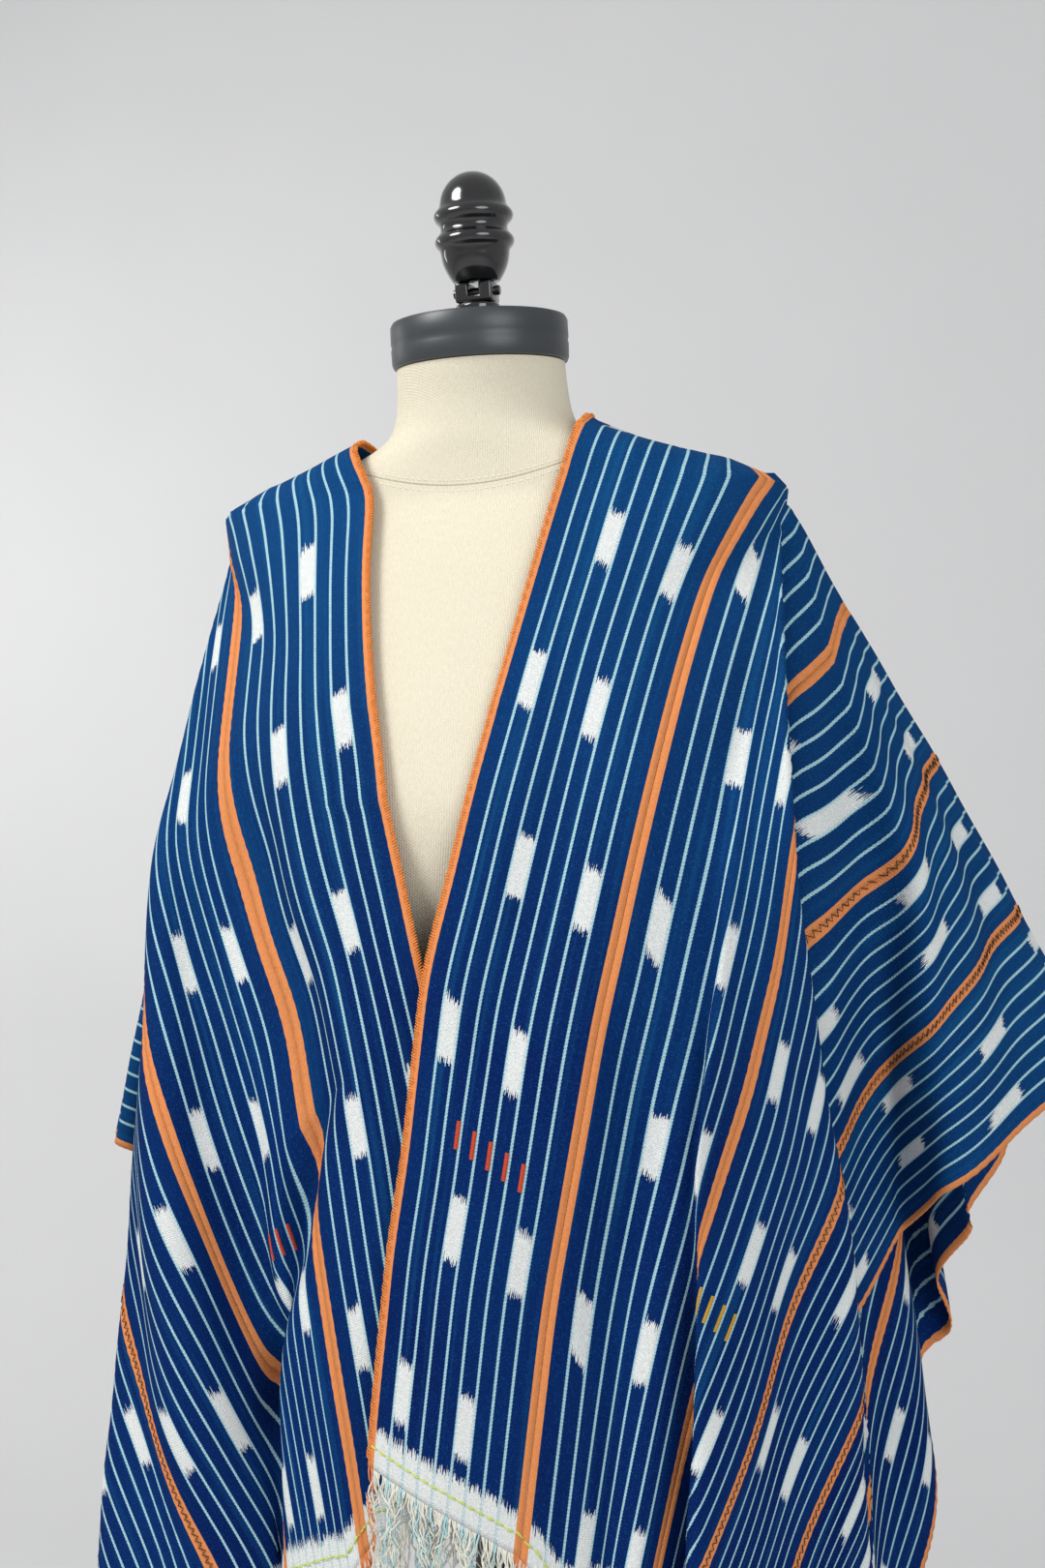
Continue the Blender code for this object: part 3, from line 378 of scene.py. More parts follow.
class SideDrape:
    # One side of the wrap. t runs from the front hem, below zero, to the back hem.

    def __init__(self, name):
        self.side = sideDrapes[name]
        self.halves = {half: HalfDrape(self.side, half) for half in warpHalves}

    def raw(self, s, t):
        front = self.halves["front"].points(s, np.maximum(-t, 0))
        back = self.halves["back"].points(s, np.maximum(t, 0))
        return np.where((t < 0)[..., None], front, back)

    def points(self, s, t):
        # Points of the cloth's middle surface, with the ridge and the tip rounded over.
        s, t = np.broadcast_arrays(np.clip(s, 0, cloth["halfWidth"]), np.asarray(t, float))
        beyond = ease((s - self.side["tipS"]) / drape["ridgeRound"])
        ridgeReach = drape["ridgeReach"] * (drape["ridgeRound"] - np.abs(t)) * (0.25 + 0.75 * beyond)
        tipReach = drape["tipReach"] * (drape["tipRound"] - np.hypot(s - self.side["tipS"], t))
        reach = np.maximum(np.maximum(ridgeReach, tipReach), 0)
        total = np.zeros(s.shape + (3,))
        for ds, dt, weight in ((0, 0, 4), (1, 0, 2), (-1, 0, 2), (0, 1, 2), (0, -1, 2),
                               (1, 1, 1), (-1, 1, 1), (1, -1, 1), (-1, -1, 1)):
            nearS = np.clip(s + ds * reach, 0, cloth["halfWidth"])
            total += weight / 16 * self.raw(nearS, t + dt * reach)
        lift = drape["shoulderLift"] * (1 - ease(np.abs(t) / drape["shoulderReach"]))
        total = pushOut(total, drape["overForm"] + lift)
        total[..., 0] *= self.side["towards"]
        return total

    def normals(self, s, t):
        # Unit normals on the outer face of the cloth.
        s, t = np.broadcast_arrays(np.asarray(s, float), np.asarray(t, float))
        step = 0.002
        across = self.points(np.minimum(s + step, cloth["halfWidth"]), t)
        across = across - self.points(np.maximum(s - step, 0), t)
        along = self.points(s, t + step) - self.points(s, t - step)
        return unit(np.cross(across, along)) * self.side["towards"]


# soft creases of the worn cloth, beyond the big folds: side, depth, width,
# then (t, s) along the crease's bottom; depth fades in and out at its ends
softCreases = [
    ("left", 0.015, 0.020, [(-0.20, 0.100), (-0.45, 0.100), (-0.52, 0.150), (-0.60, 0.235)]),
    ("right", 0.011, 0.020, [(-0.34, 0.135), (-0.50, 0.158), (-0.71, 0.187)]),
    ("right", 0.006, 0.024, [(-0.16, 0.045), (-0.30, 0.060), (-0.44, 0.052)]),
    ("left", 0.006, 0.022, [(-0.24, 0.030), (-0.38, 0.046), (-0.52, 0.030)]),
]
surface = {"waveHeight": 0.0008, "puckerHeight": 0.0004, "puckerPitch": 0.0085, "puckerReach": 0.006}
# the fine folds that fan out from the shoulder's tip and take up the rest of the cloth:
# their height over the distance from the tip, in front and behind, and their pitch in degrees
fanFolds = {"right": (0.005, 0.016, 14.0), "left": (0.013, 0.023, 12.0)}
fanFade = {"degrees": 12, "radius": 0.15}


def fanRelief(sideName, s, t):
    frontRise, backRise, pitch = fanFolds[sideName]
    rise = np.where(t < 0, frontRise, backRise)
    out = s - sideDrapes[sideName]["tipS"]
    radius = np.hypot(np.maximum(out, 0), t)
    angle = np.degrees(np.arctan2(np.abs(t), np.maximum(out, 1e-9)))
    fade = ease((90 - angle) / fanFade["degrees"]) * ease(radius / fanFade["radius"])
    return np.where(out > 0, rise * radius * fade * np.sin(2 * math.pi * angle / pitch), 0)


def surfaceRelief(sideName, s, t):
    # height of the cloth's small relief over the big folds: puckers at the seams, a slow uneven
    # wave over the whole cloth, the fan of fine folds and the soft creases
    stripWidth = cloth["stripWidth"]
    toSeam = np.abs(s / stripWidth - np.round(s / stripWidth)) * stripWidth
    pucker = np.exp(-((toSeam / surface["puckerReach"]) ** 2))
    pucker = pucker * np.sin(2 * math.pi * t / surface["puckerPitch"] + 3 * np.sin(40 * t) + 9 * s)
    wave = np.sin(48 * s + 21 * t + 1.3 * np.sin(17 * t)) * np.sin(33 * t - 25 * s)
    height = surface["puckerHeight"] * pucker + surface["waveHeight"] * wave + fanRelief(sideName, s, t)
    for side, depth, width, path in softCreases:
        if side != sideName:
            continue
        run = np.array([-p[0] for p in path])
        bottom = np.interp(-t, run, [p[1] for p in path])
        fade = ease((-t - run[0]) / 0.10) * (1 if run[-1] > 0.7 else ease((run[-1] + 0.06 + t) / 0.08))
        height = height - depth * fade * np.exp(-(((s - bottom) / width) ** 2))
    return height


def clothPoints(drapeSide, sideName, s, t):
    s, t = np.broadcast_arrays(np.asarray(s, float), np.asarray(t, float))
    normal = drapeSide.normals(s, t)
    points = drapeSide.points(s, t) + normal * surfaceRelief(sideName, s, t)[..., None]
    return pushOut(points, drape["overForm"] - 0.001), normal


def deselectAll():
    for obj in list(bpy.context.selected_objects):
        obj.select_set(False)


def newMeshObject(name, points, faces, uvs=None, shades=None):
    mesh = bpy.data.meshes.new(name)
    mesh.vertices.add(len(points))
    mesh.vertices.foreach_set("co", np.asarray(points, np.float32).ravel())
    faces = np.asarray(faces, np.int32)
    mesh.loops.add(faces.size)
    mesh.polygons.add(len(faces))
    mesh.polygons.foreach_set("loop_start", np.arange(0, faces.size, faces.shape[1], dtype=np.int32))
    mesh.loops.foreach_set("vertex_index", faces.ravel())
    mesh.update(calc_edges=True)
    if uvs is not None:
        layer = mesh.uv_layers.new(name="weave")
        layer.data.foreach_set("uv", np.asarray(uvs, np.float32)[faces.ravel()].ravel())
    if shades is not None:
        layer = mesh.attributes.new("threadShade", "FLOAT", "POINT")
        layer.data.foreach_set("value", np.asarray(shades, np.float32))
    mesh.shade_smooth()
    obj = bpy.data.objects.new(name, mesh)
    bpy.context.scene.collection.objects.link(obj)
    return obj


def gridFaces(rows, columns, start=0, turned=False):
    i, j = np.meshgrid(np.arange(rows - 1), np.arange(columns - 1), indexing="ij")
    a = start + i * columns + j
    corners = [a, a + 1, a + columns + 1, a + columns]
    if turned:
        corners.reverse()
    return np.stack([c.ravel() for c in corners], axis=1)


def closedSheet(name, outer, inner, uvs, outwards):
    rows, columns = outer.shape[:2]
    count = rows * columns
    points = np.concatenate([outer.reshape(-1, 3), inner.reshape(-1, 3)])
    flip = outwards < 0
    faces = [gridFaces(rows, columns, 0, flip), gridFaces(rows, columns, count, not flip)]
    for line, turn in (
        (np.arange(columns), True),
        ((rows - 1) * columns + np.arange(columns), False),
        (np.arange(rows) * columns, False),
        (np.arange(rows) * columns + columns - 1, True),
    ):
        a, b = line[:-1], line[1:]
        quad = [a, b, b + count, a + count]
        if turn != flip:
            quad.reverse()
        faces.append(np.stack(quad, axis=1))
    uvs = np.concatenate([uvs.reshape(-1, 2)] * 2)
    return newMeshObject(name, points, np.concatenate(faces), uvs)


def tubes(paths, radius, sides=4, taper=None):
    # tubes of a few sides round many paths of the same number of points
    paths = np.asarray(paths, float)
    count, steps = paths.shape[:2]
    along = np.gradient(paths, axis=1)
    along /= np.maximum(np.linalg.norm(along, axis=-1, keepdims=True), 1e-9)
    helper = np.where(np.abs(along[..., 2:3]) < 0.8, [0.0, 0.0, 1.0], [1.0, 0.0, 0.0])
    across = unit(np.cross(along, helper))
    up = np.cross(across, along)
    turn = np.arange(sides) * 2 * math.pi / sides
    size = radius if taper is None else radius * taper[None, :, None, None]
    rings = paths[:, :, None] + size * (
        across[:, :, None] * np.cos(turn)[:, None] + up[:, :, None] * np.sin(turn)[:, None]
    )
    base = (np.arange(count)[:, None, None] * steps + np.arange(steps - 1)[None, :, None]) * sides
    k = np.arange(sides)
    n = (k + 1) % sides
    faces = np.stack([base + k, base + n, base + sides + n, base + sides + k], axis=-1).reshape(-1, 4)
    ends = []
    if sides == 4:
        first = np.arange(count)[:, None] * steps * sides
        ends = [first + np.array([3, 2, 1, 0]), first + (steps - 1) * sides + np.arange(4)]
    return rings.reshape(-1, 3), np.concatenate([faces, *ends])


# materials

def linked(tree, socket, value):
    if isinstance(value, (int, float, tuple)):
        socket.default_value = value
    else:
        tree.links.new(value, socket)


def maths(tree, operation, *values, clamp=False):
    node = tree.nodes.new("ShaderNodeMath")
    node.operation = operation
    node.use_clamp = clamp
    for socket, value in zip(node.inputs, values):
        linked(tree, socket, value)
    return node.outputs[0]


mathsKinds = {
    "plus": "ADD", "minus": "SUBTRACT", "times": "MULTIPLY", "over": "DIVIDE", "timesPlus": "MULTIPLY_ADD",
    "size": "ABSOLUTE", "whole": "FLOOR", "part": "FRACT", "sine": "SINE", "larger": "MAXIMUM",
    "above": "GREATER_THAN", "below": "LESS_THAN",
}


def mathsFor(tree):
    # the maths nodes of one shader tree, under short names
    return SimpleNamespace(**{name: partial(maths, tree, kind) for name, kind in mathsKinds.items()})


def blend(tree, amount, first, second, mode="MIX"):
    node = tree.nodes.new("ShaderNodeMix")
    node.data_type = "RGBA"
    node.blend_type = mode
    linked(tree, node.inputs[0], amount)
    linked(tree, node.inputs[6], first)
    linked(tree, node.inputs[7], second)
    return node.outputs[2]


def joined(tree, x, y, z=0.0):
    node = tree.nodes.new("ShaderNodeCombineXYZ")
    for socket, value in zip(node.inputs, (x, y, z)):
        linked(tree, socket, value)
    return node.outputs[0]


def noise(tree, place, scale=1.0, detail=2.0, roughness=0.5):
    node = tree.nodes.new("ShaderNodeTexNoise")
    node.inputs["Scale"].default_value = scale
    node.inputs["Detail"].default_value = detail
    node.inputs["Roughness"].default_value = roughness
    tree.links.new(place, node.inputs["Vector"])
    return node.outputs["Fac"]


def newGroup(name, inputs, outputs):
    tree = bpy.data.node_groups.new(name, "ShaderNodeTree")
    for label, default in inputs.items():
        kind = "NodeSocketColor" if isinstance(default, tuple) else "NodeSocketFloat"
        tree.interface.new_socket(label, in_out="INPUT", socket_type=kind).default_value = default
    for label, kind in outputs.items():
        tree.interface.new_socket(label, in_out="OUTPUT", socket_type=kind)
    return tree, tree.nodes.new("NodeGroupInput").outputs, tree.nodes.new("NodeGroupOutput").inputs


def newMaterial(name, roughness=0.8, **settings):
    material = bpy.data.materials.new(name)
    material.use_nodes = True
    shader = material.node_tree.nodes["Principled BSDF"]
    shader.inputs["Roughness"].default_value = roughness
    for label, value in settings.items():
        shader.inputs[label].default_value = value
    return material, material.node_tree, shader


def raised(tree, shader, height, distance, strength=1.0):
    bump = tree.nodes.new("ShaderNodeBump")
    bump.inputs["Distance"].default_value = distance
    bump.inputs["Strength"].default_value = strength
    tree.links.new(height, bump.inputs["Height"])
    tree.links.new(bump.outputs["Normal"], shader.inputs["Normal"])


def placed(tree, group, **values):
    node = tree.nodes.new("ShaderNodeGroup")
    node.node_tree = group
    for label, value in values.items():
        linked(tree, node.inputs[label], value)
    return node.outputs


def objectPlace(tree):
    return tree.nodes.new("ShaderNodeTexCoord").outputs["Object"]


weave = {
    "firstLine": 0.0165,
    "linePitch": 0.0116,
    "lineHalfWidth": 0.00092,
    "linesShown": (-0.3, 7.3),
    "twistPitch": 0.0021,
    "twistSwell": 0.00016,
    "blockHalfLength": 0.0178,
    "blockFray": (0.013, 0.007),
    "blockComb": 0.0013,
    "combPitch": 0.0012,
    "weftPitch": 0.00125,
    "selvedge": 0.0048,
    "dyedTo": 0.686,
    "hemFray": (0.020, 0.008),
    "deepIndigo": (0.0010, 0.011, 0.095, 1),
    "indigo": (0.0015, 0.029, 0.146, 1),
    "fadedIndigo": (0.008, 0.115, 0.285, 1),
    "line": (0.42, 0.68, 0.74, 1),
    "lineShade": (0.17, 0.36, 0.46, 1),
    "undyed": (0.74, 0.77, 0.76, 1),
    "orange": (0.84, 0.335, 0.130, 1),
    "deepOrange": (0.66, 0.185, 0.045, 1),
}
# how the yarns vary: how fast across the strip, how fast along it, and in how much detail
yarnNoises = {
    "yarn": (1500.0, 6.0, 1.0),
    "dashes": (1300.0, 420.0, 1.0),
    "grain": (900.0, 1100.0, 2.0),
    "vat": (9.0, 5.0, 3.0),
    "bands": (160.0, 3.0, 2.0),
}


def paleLines(m, u, v):
    # the place across counted in lines, the twist of the pale yarns, and their mask
    lineAt = m.over(m.minus(u, weave["firstLine"]), weave["linePitch"])
    offLine = m.minus(m.part(m.plus(lineAt, 0.5)), 0.5)
    twist = m.sine(m.plus(m.times(v, 2 * math.pi / weave["twistPitch"]), m.times(offLine, 9.0)))
    halfWidth = m.timesPlus(twist, weave["twistSwell"], weave["lineHalfWidth"])
    fromLine = m.times(m.size(offLine), weave["linePitch"])
    first, last = weave["linesShown"]
    shown = m.times(m.above(lineAt, first), m.below(lineAt, last))
    line = m.timesPlus(m.minus(halfWidth, fromLine), 4000.0, 0.5, clamp=True)
    return lineAt, twist, m.times(line, shown)


def frayedEdge(m, edge, fray, yarn, dashes):
    byYarn, byDash = fray
    return m.timesPlus(m.minus(dashes, 0.5), byDash, m.timesPlus(m.minus(yarn, 0.5), byYarn, edge))


def resistBlocks(m, u, v, lineAt, given, yarn, dashes):
    # in turn between lines 3-4 and 7-8, then 1-2 and 5-6
    rowAt = m.over(m.plus(v, given["Block Start"]), given["Row Pitch"])
    fromMiddle = m.times(m.size(m.minus(m.part(rowAt), 0.5)), given["Row Pitch"])
    oddRow = m.times(m.part(m.times(m.whole(rowAt), 0.5)), 2.0)
    gapOfFour = m.times(m.part(m.times(m.whole(lineAt), 0.25)), 4.0)
    column = m.below(m.size(m.minus(gapOfFour, m.timesPlus(oddRow, -2.0, 2.0))), 0.5)
    column = m.times(column, m.times(m.above(lineAt, 0.0), m.below(lineAt, 7.0)))
    end = frayedEdge(m, weave["blockHalfLength"], weave["blockFray"], yarn, dashes)
    end = m.timesPlus(m.sine(m.times(u, 2 * math.pi / weave["combPitch"])), weave["blockComb"], end)
    return m.times(m.timesPlus(m.minus(end, fromMiddle), 1500.0, 0.5, clamp=True), column)


def makeWeaveGroup():
    # the pattern of a strip, from its own lengths: u across the strip, v along the warp
    tree, given, put = newGroup(
        "handwovenStrip",
        {"Block Start": 0.0, "Row Pitch": 0.107, "Seed": 0.0},
        {"Color": "NodeSocketColor", "Height": "NodeSocketFloat", "Roughness": "NodeSocketFloat"},
    )
    m = mathsFor(tree)
    lengths = tree.nodes.new("ShaderNodeUVMap")
    lengths.uv_map = "weave"
    parts = tree.nodes.new("ShaderNodeSeparateXYZ")
    tree.links.new(lengths.outputs[0], parts.inputs[0])
    u, v = parts.outputs[0], parts.outputs[1]
    fromShoulder = m.size(v)
    yarn, dashes, grain, vat, bands = [
        noise(tree, joined(tree, m.times(u, across), m.times(v, along), given["Seed"]), 1.0, detail)
        for across, along, detail in yarnNoises.values()
    ]

    lineAt, twist, line = paleLines(m, u, v)
    block = resistBlocks(m, u, v, lineAt, given, yarn, dashes)
    # undyed warp at the hems
    dyedTo = frayedEdge(m, weave["dyedTo"], weave["hemFray"], yarn, dashes)
    hem = m.timesPlus(m.minus(fromShoulder, dyedTo), 700.0, 0.5, clamp=True)
    selvedge = m.larger(
        m.below(u, weave["selvedge"]), m.above(u, cloth["stripWidth"] - weave["selvedge"])
    )

    dye = m.timesPlus(m.minus(vat, 0.5), 2.2, 0.45, clamp=True)
    colour = blend(tree, dye, weave["deepIndigo"], weave["indigo"])
    # paler over the shoulders, blended towards the faded indigo and fading out about 0.45 m down each side
    paleTowardsShoulders = m.timesPlus(fromShoulder, -1.9, 0.85, clamp=True)
    colour = blend(tree, m.times(paleTowardsShoulders, 0.42), colour, weave["fadedIndigo"])
    streak = m.timesPlus(m.minus(bands, 0.55), 1.6, 0.0, clamp=True)
    colour = blend(tree, streak, colour, weave["fadedIndigo"])
    speck = m.timesPlus(m.minus(grain, 0.56), 3.5, 0.0, clamp=True)
    colour = blend(tree, m.times(speck, 0.55), colour, weave["fadedIndigo"])
    colour = blend(tree, block, colour, weave["undyed"])
    colour = blend(tree, hem, colour, weave["undyed"])
    # the pale yarns run on through the blocks and hems, fainter
    lineColour = blend(tree, m.timesPlus(twist, 0.2, 0.2, clamp=True), weave["line"], weave["lineShade"])
    overBlock = m.times(line, m.timesPlus(block, -0.75, 1.0))
    colour = blend(tree, m.times(overBlock, m.timesPlus(hem, -0.5, 1.0)), colour, lineColour)
    edgeColour = blend(tree, m.times(grain, 0.7), weave["orange"], weave["deepOrange"])
    colour = blend(tree, selvedge, colour, edgeColour)
    weft = m.sine(m.timesPlus(v, 2 * math.pi / weave["weftPitch"], m.times(grain, 1.5)))
    weftShade = m.timesPlus(weft, 0.09, m.timesPlus(m.minus(grain, 0.5), 0.7, 0.95))
    colour = blend(tree, 1.0, colour, joined(tree, weftShade, weftShade, weftShade), "MULTIPLY")

    height = m.timesPlus(weft, 0.22, grain)
    height = m.timesPlus(line, m.timesPlus(twist, 0.35, 0.75), height)
    height = m.timesPlus(selvedge, 0.4, height)
    tree.links.new(colour, put["Color"])
    tree.links.new(height, put["Height"])
    tree.links.new(m.timesPlus(grain, -0.12, 0.88), put["Roughness"])
    return tree


weaveGroup = makeWeaveGroup()

# each strip's rows of blocks, as woven: where they start along the warp, and their pitch
blockRows = {
    "right": [(0.1745, 0.107), (0.0212, 0.1185), (0.0935, 0.107), (0.0890, 0.102), (0.1535, 0.107)],
    "left": [(0.1858, 0.1175), (0.0500, 0.110), (0.0035, 0.107), (0.0940, 0.107), (0.0120, 0.107)],
}


def stripMaterial(sideName, number):
    material, tree, shader = newMaterial(f"wovenStrip_{sideName}_{number}", 0.85)
    start, pitch = blockRows[sideName][number - 1]
    seed = number * 3.7 + (50.0 if sideName == "left" else 0.0)
    woven = placed(tree, weaveGroup, **{"Block Start": start, "Row Pitch": pitch, "Seed": seed})
    tree.links.new(woven["Color"], shader.inputs["Base Color"])
    tree.links.new(woven["Roughness"], shader.inputs["Roughness"])
    raised(tree, shader, woven["Height"], 0.00035, 0.8)
    shader.inputs["Specular IOR Level"].default_value = 0.06
    return material


def threadMaterial(name, colour, dark, roughness=0.8):
    material, tree, shader = newMaterial(name, roughness)
    strands = noise(tree, objectPlace(tree), 1400.0, 2.0)
    twisted = blend(tree, maths(tree, "MULTIPLY", strands, 0.8), colour, dark)
    tree.links.new(twisted, shader.inputs["Base Color"])
    raised(tree, shader, strands, 0.0002, 0.7)
    return material


drapes = {name: SideDrape(name) for name in sideDrapes}
print("drape worked out")

# the woven strips


def makeStrip(sideName, number):
    drapeSide = drapes[sideName]
    first, last = (number - 1) * cloth["stripWidth"], number * cloth["stripWidth"]
    across = np.linspace(first, last, cloth["cellsAcross"] + 1)
    along = np.linspace(-cloth["length"], cloth["length"], cloth["cellsAlong"] + 1)
    s, t = np.meshgrid(across, along, indexing="ij")
    middle, normal = clothPoints(drapeSide, sideName, s, t)
    for edge, neighbour in ((0, 1), (-1, -2)):
        middle[edge] += cloth["seamGap"] / 2 * unit(middle[neighbour] - middle[edge])
    half = cloth["thickness"] / 2 * normal
    uvs = np.stack([s - first, t], axis=-1)
    name = f"{sideName}Strip{number}"
    strip = closedSheet(name, middle + half, middle - half, uvs, drapeSide.side["towards"])
    strip.data.materials.append(stripMaterial(sideName, number))
    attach(strip, "root")
    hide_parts(f"strip_{sideName}_{number}")
    return strip


stripPieces = {
    name: [makeStrip(name, number) for number in range(1, cloth["strips"] + 1)] for name in drapes
}
print("strips woven")

# sewing

sewing = {
    "slitEnd": 0.092,
    "edgeRadius": 0.0011,
    "edgePitch": 0.0017,
    "edgeThread": 0.00042,
    "zigzagSeams": (3, 4),
    "zigzagEnds": 0.02,
    "zigzagHalf": 0.0020,
    "zigzagStep": 0.0022,
    "zigzagThread": 0.00040,
    "hemAt": 0.6975,
    "hemStitch": 0.0068,
    "hemWander": 0.0004,
    "hemThread": 0.00072,
}


def sewnPiece(name, paths, thread, material, taper=None):
    points, faces = tubes(paths, thread, taper=taper)
    piece = newMeshObject(name, points, faces)
    piece.data.materials.append(material)
    return piece


def makeOvercastEdge(sideName, material):
    # thread wound round the slit's edge, from the front hem to the back of the neck
    drapeSide = drapes[sideName]
    turnSteps = 8
    steps = int((cloth["length"] + sewing["slitEnd"]) / sewing["edgePitch"] * turnSteps)
    t = np.linspace(-cloth["length"] + 0.004, sewing["slitEnd"], steps)
    s = np.zeros(steps)
    centre, normal = clothPoints(drapeSide, sideName, s + 0.0012, t)
    inside = unit(clothPoints(drapeSide, sideName, s + 0.004, t)[0] - centre)
    turn = np.arange(steps) * 2 * math.pi / turnSteps
    path = centre - inside * 0.0006 + sewing["edgeRadius"] * (
        normal * np.sin(turn)[:, None] * 0.95 + inside * np.cos(turn)[:, None] * 1.5
    )
    return sewnPiece(f"{sideName}OvercastEdge", [path], sewing["edgeThread"], material)


def makeZigzag(sideName, seam, material):
    reach = cloth["length"] - sewing["zigzagEnds"]
    count = int(2 * reach / sewing["zigzagStep"])
    t = np.linspace(-reach, reach, count)
    s = seam * cloth["stripWidth"] + sewing["zigzagHalf"] * np.where(np.arange(count) % 2, 1, -1)
    points, normal = clothPoints(drapes[sideName], sideName, s, t)
    corners = points + normal * (cloth["thickness"] / 2 + sewing["zigzagThread"] * 0.6)
    return sewnPiece(f"{sideName}ZigzagSeam{seam}", [corners], sewing["zigzagThread"], material)


def makeHemStitches(sideName, half, material):
    sign = -1 if half == "front" else 1
    count = int(cloth["halfWidth"] / sewing["hemStitch"])
    start = np.arange(count) * sewing["hemStitch"] + 0.001
    share = np.linspace(0, 1, 7)
    s = start[:, None] + share * (sewing["hemStitch"] - 0.0006)
    t = sign * (sewing["hemAt"] + sewing["hemWander"] * np.sin(3.1 * np.arange(count))[:, None] + 0 * s)
    lift = sewing["hemThread"] * (np.sin(math.pi * share) ** 0.5 - 0.35)
    centre, normal = clothPoints(drapes[sideName], sideName, s, t)
    paths = centre + normal * (cloth["thickness"] / 2 + lift[None, :])[..., None]
    taper = np.array([0.35, 0.85, 1, 1, 1, 0.85, 0.35])
    return sewnPiece(f"{sideName}HemStitches_{half}", paths, sewing["hemThread"], material, taper)


# short satin-stitched marks beside the pale lines: side, strip, lines, t, thread
accentMarks = [
    ("right", 1, (2, 3, 4, 5, 6), -0.497, "redAccent"),
    ("right", 3, (0, 1, 2, 3), -0.508, "yellowAccent"),
    ("left", 2, (2, 3, 4), -0.505, "redAccent"),
]
accentMark = {
    "length": 0.0155, "width": 0.0026, "besideLine": 0.0022, "thread": 0.00052, "stitches": 17,
    "step": -0.0013, "slant": 0.0005,
}


def makeAccents(sideName, strip, lines, t, material):
    share = np.linspace(-0.5, 0.5, 5)
    firstLine = (strip - 1) * cloth["stripWidth"] + weave["firstLine"] - accentMark["besideLine"]
    lift = cloth["thickness"] / 2 + accentMark["thread"] * (np.cos(math.pi * share) - 0.1)
    paths = []
    for order, line in enumerate(lines):
        s = firstLine + weave["linePitch"] * line + accentMark["width"] * share
        for stitch in np.linspace(-0.5, 0.5, accentMark["stitches"]):
            along = t + accentMark["step"] * order + accentMark["length"] * stitch
            along = along + accentMark["slant"] * share
            centre, normal = clothPoints(drapes[sideName], sideName, s, along)
            paths.append(centre + normal * lift[:, None])
    return sewnPiece(f"{sideName}AccentMarks{strip}", paths, accentMark["thread"], material)


overcastThread = threadMaterial("overcastThread", (0.92, 0.33, 0.055, 1), (0.70, 0.19, 0.03, 1))
zigzagThread = threadMaterial("zigzagThread", (0.075, 0.030, 0.018, 1), (0.03, 0.012, 0.01, 1))
hemThread = threadMaterial("hemThread", (0.66, 0.77, 0.18, 1), (0.42, 0.52, 0.09, 1))
accentThreads = {
    "redAccent": threadMaterial("redAccent", (0.72, 0.085, 0.022, 1), (0.45, 0.04, 0.012, 1), 0.6),
    "yellowAccent": threadMaterial("yellowAccent", (0.68, 0.40, 0.03, 1), (0.45, 0.24, 0.015, 1), 0.6),
}
sewn = {"right": [], "left": []}
for sideName, pieces in sewn.items():
    pieces.append(makeOvercastEdge(sideName, overcastThread))
    pieces += [makeZigzag(sideName, seam, zigzagThread) for seam in sewing["zigzagSeams"]]
    pieces += [makeHemStitches(sideName, half, hemThread) for half in ("front", "back")]
    for side, strip, lines, t, thread in accentMarks:
        if side == sideName:
            pieces.append(makeAccents(side, strip, lines, t, accentThreads[thread]))
    for piece in pieces:
        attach(piece, "root")
print("seams and hems sewn")

# fringe

fringe = {
    "pitch": 0.00105, "scatter": 0.0003, "length": 0.048, "lengthShares": (0.72, 1.08),
    "lock": 0.011, "lean": 0.010, "thread": 0.00056, "tipShare": 0.7, "points": 12,
}


def curl(random, share, height, turns, count):
    # one way in which each warp end waves, more towards its tip
    swing = random.uniform(*height, count)[:, None]
    turned = share * random.uniform(*turns, count)[:, None] + random.uniform(0, 6.3, count)[:, None]
    return swing * np.sin(turned) * ease(share * 3)


def warpEndPaths(sideName, sign, s, random):
    # each loose warp end leaves the hem along the cloth, then hangs and curls
    count = len(s)
    hem = np.full(count, sign * cloth["length"])
    root, normal = clothPoints(drapes[sideName], sideName, s, hem - sign * 0.001)
    out = unit(root - clothPoints(drapes[sideName], sideName, s, hem - sign * 0.007)[0])
    across = np.cross(normal, out)
    share = np.linspace(0, 1, fringe["points"])
    length = fringe["length"] * random.uniform(*fringe["lengthShares"], count)
    # neighbours lean together, so that the ends gather in loose locks
    lock = np.floor(s / fringe["lock"])
    inLock = s / fringe["lock"] - lock - 0.5
    lean = (np.sin(lock * 2.4) * fringe["lean"] - inLock * fringe["lean"])[:, None] * share**1.4
    hang = np.minimum(share * 2.2, 1)[None, :, None]
    direction = unit(out[:, None] * (1 - hang) + np.array([0, 0, -1.0]) * hang)
    steps = direction[:, :-1] * (length[:, None, None] / (fringe["points"] - 1))
    path = root[:, None] + np.concatenate([np.zeros((count, 1, 3)), np.cumsum(steps, axis=1)], axis=1)
    sideways = curl(random, share, (0.0010, 0.0032), (7, 15), count)
    outwards = curl(random, share, (0.0006, 0.0024), (6, 13), count)
    return path + across[:, None] * (sideways + lean)[..., None] + normal[:, None] * outwards[..., None]


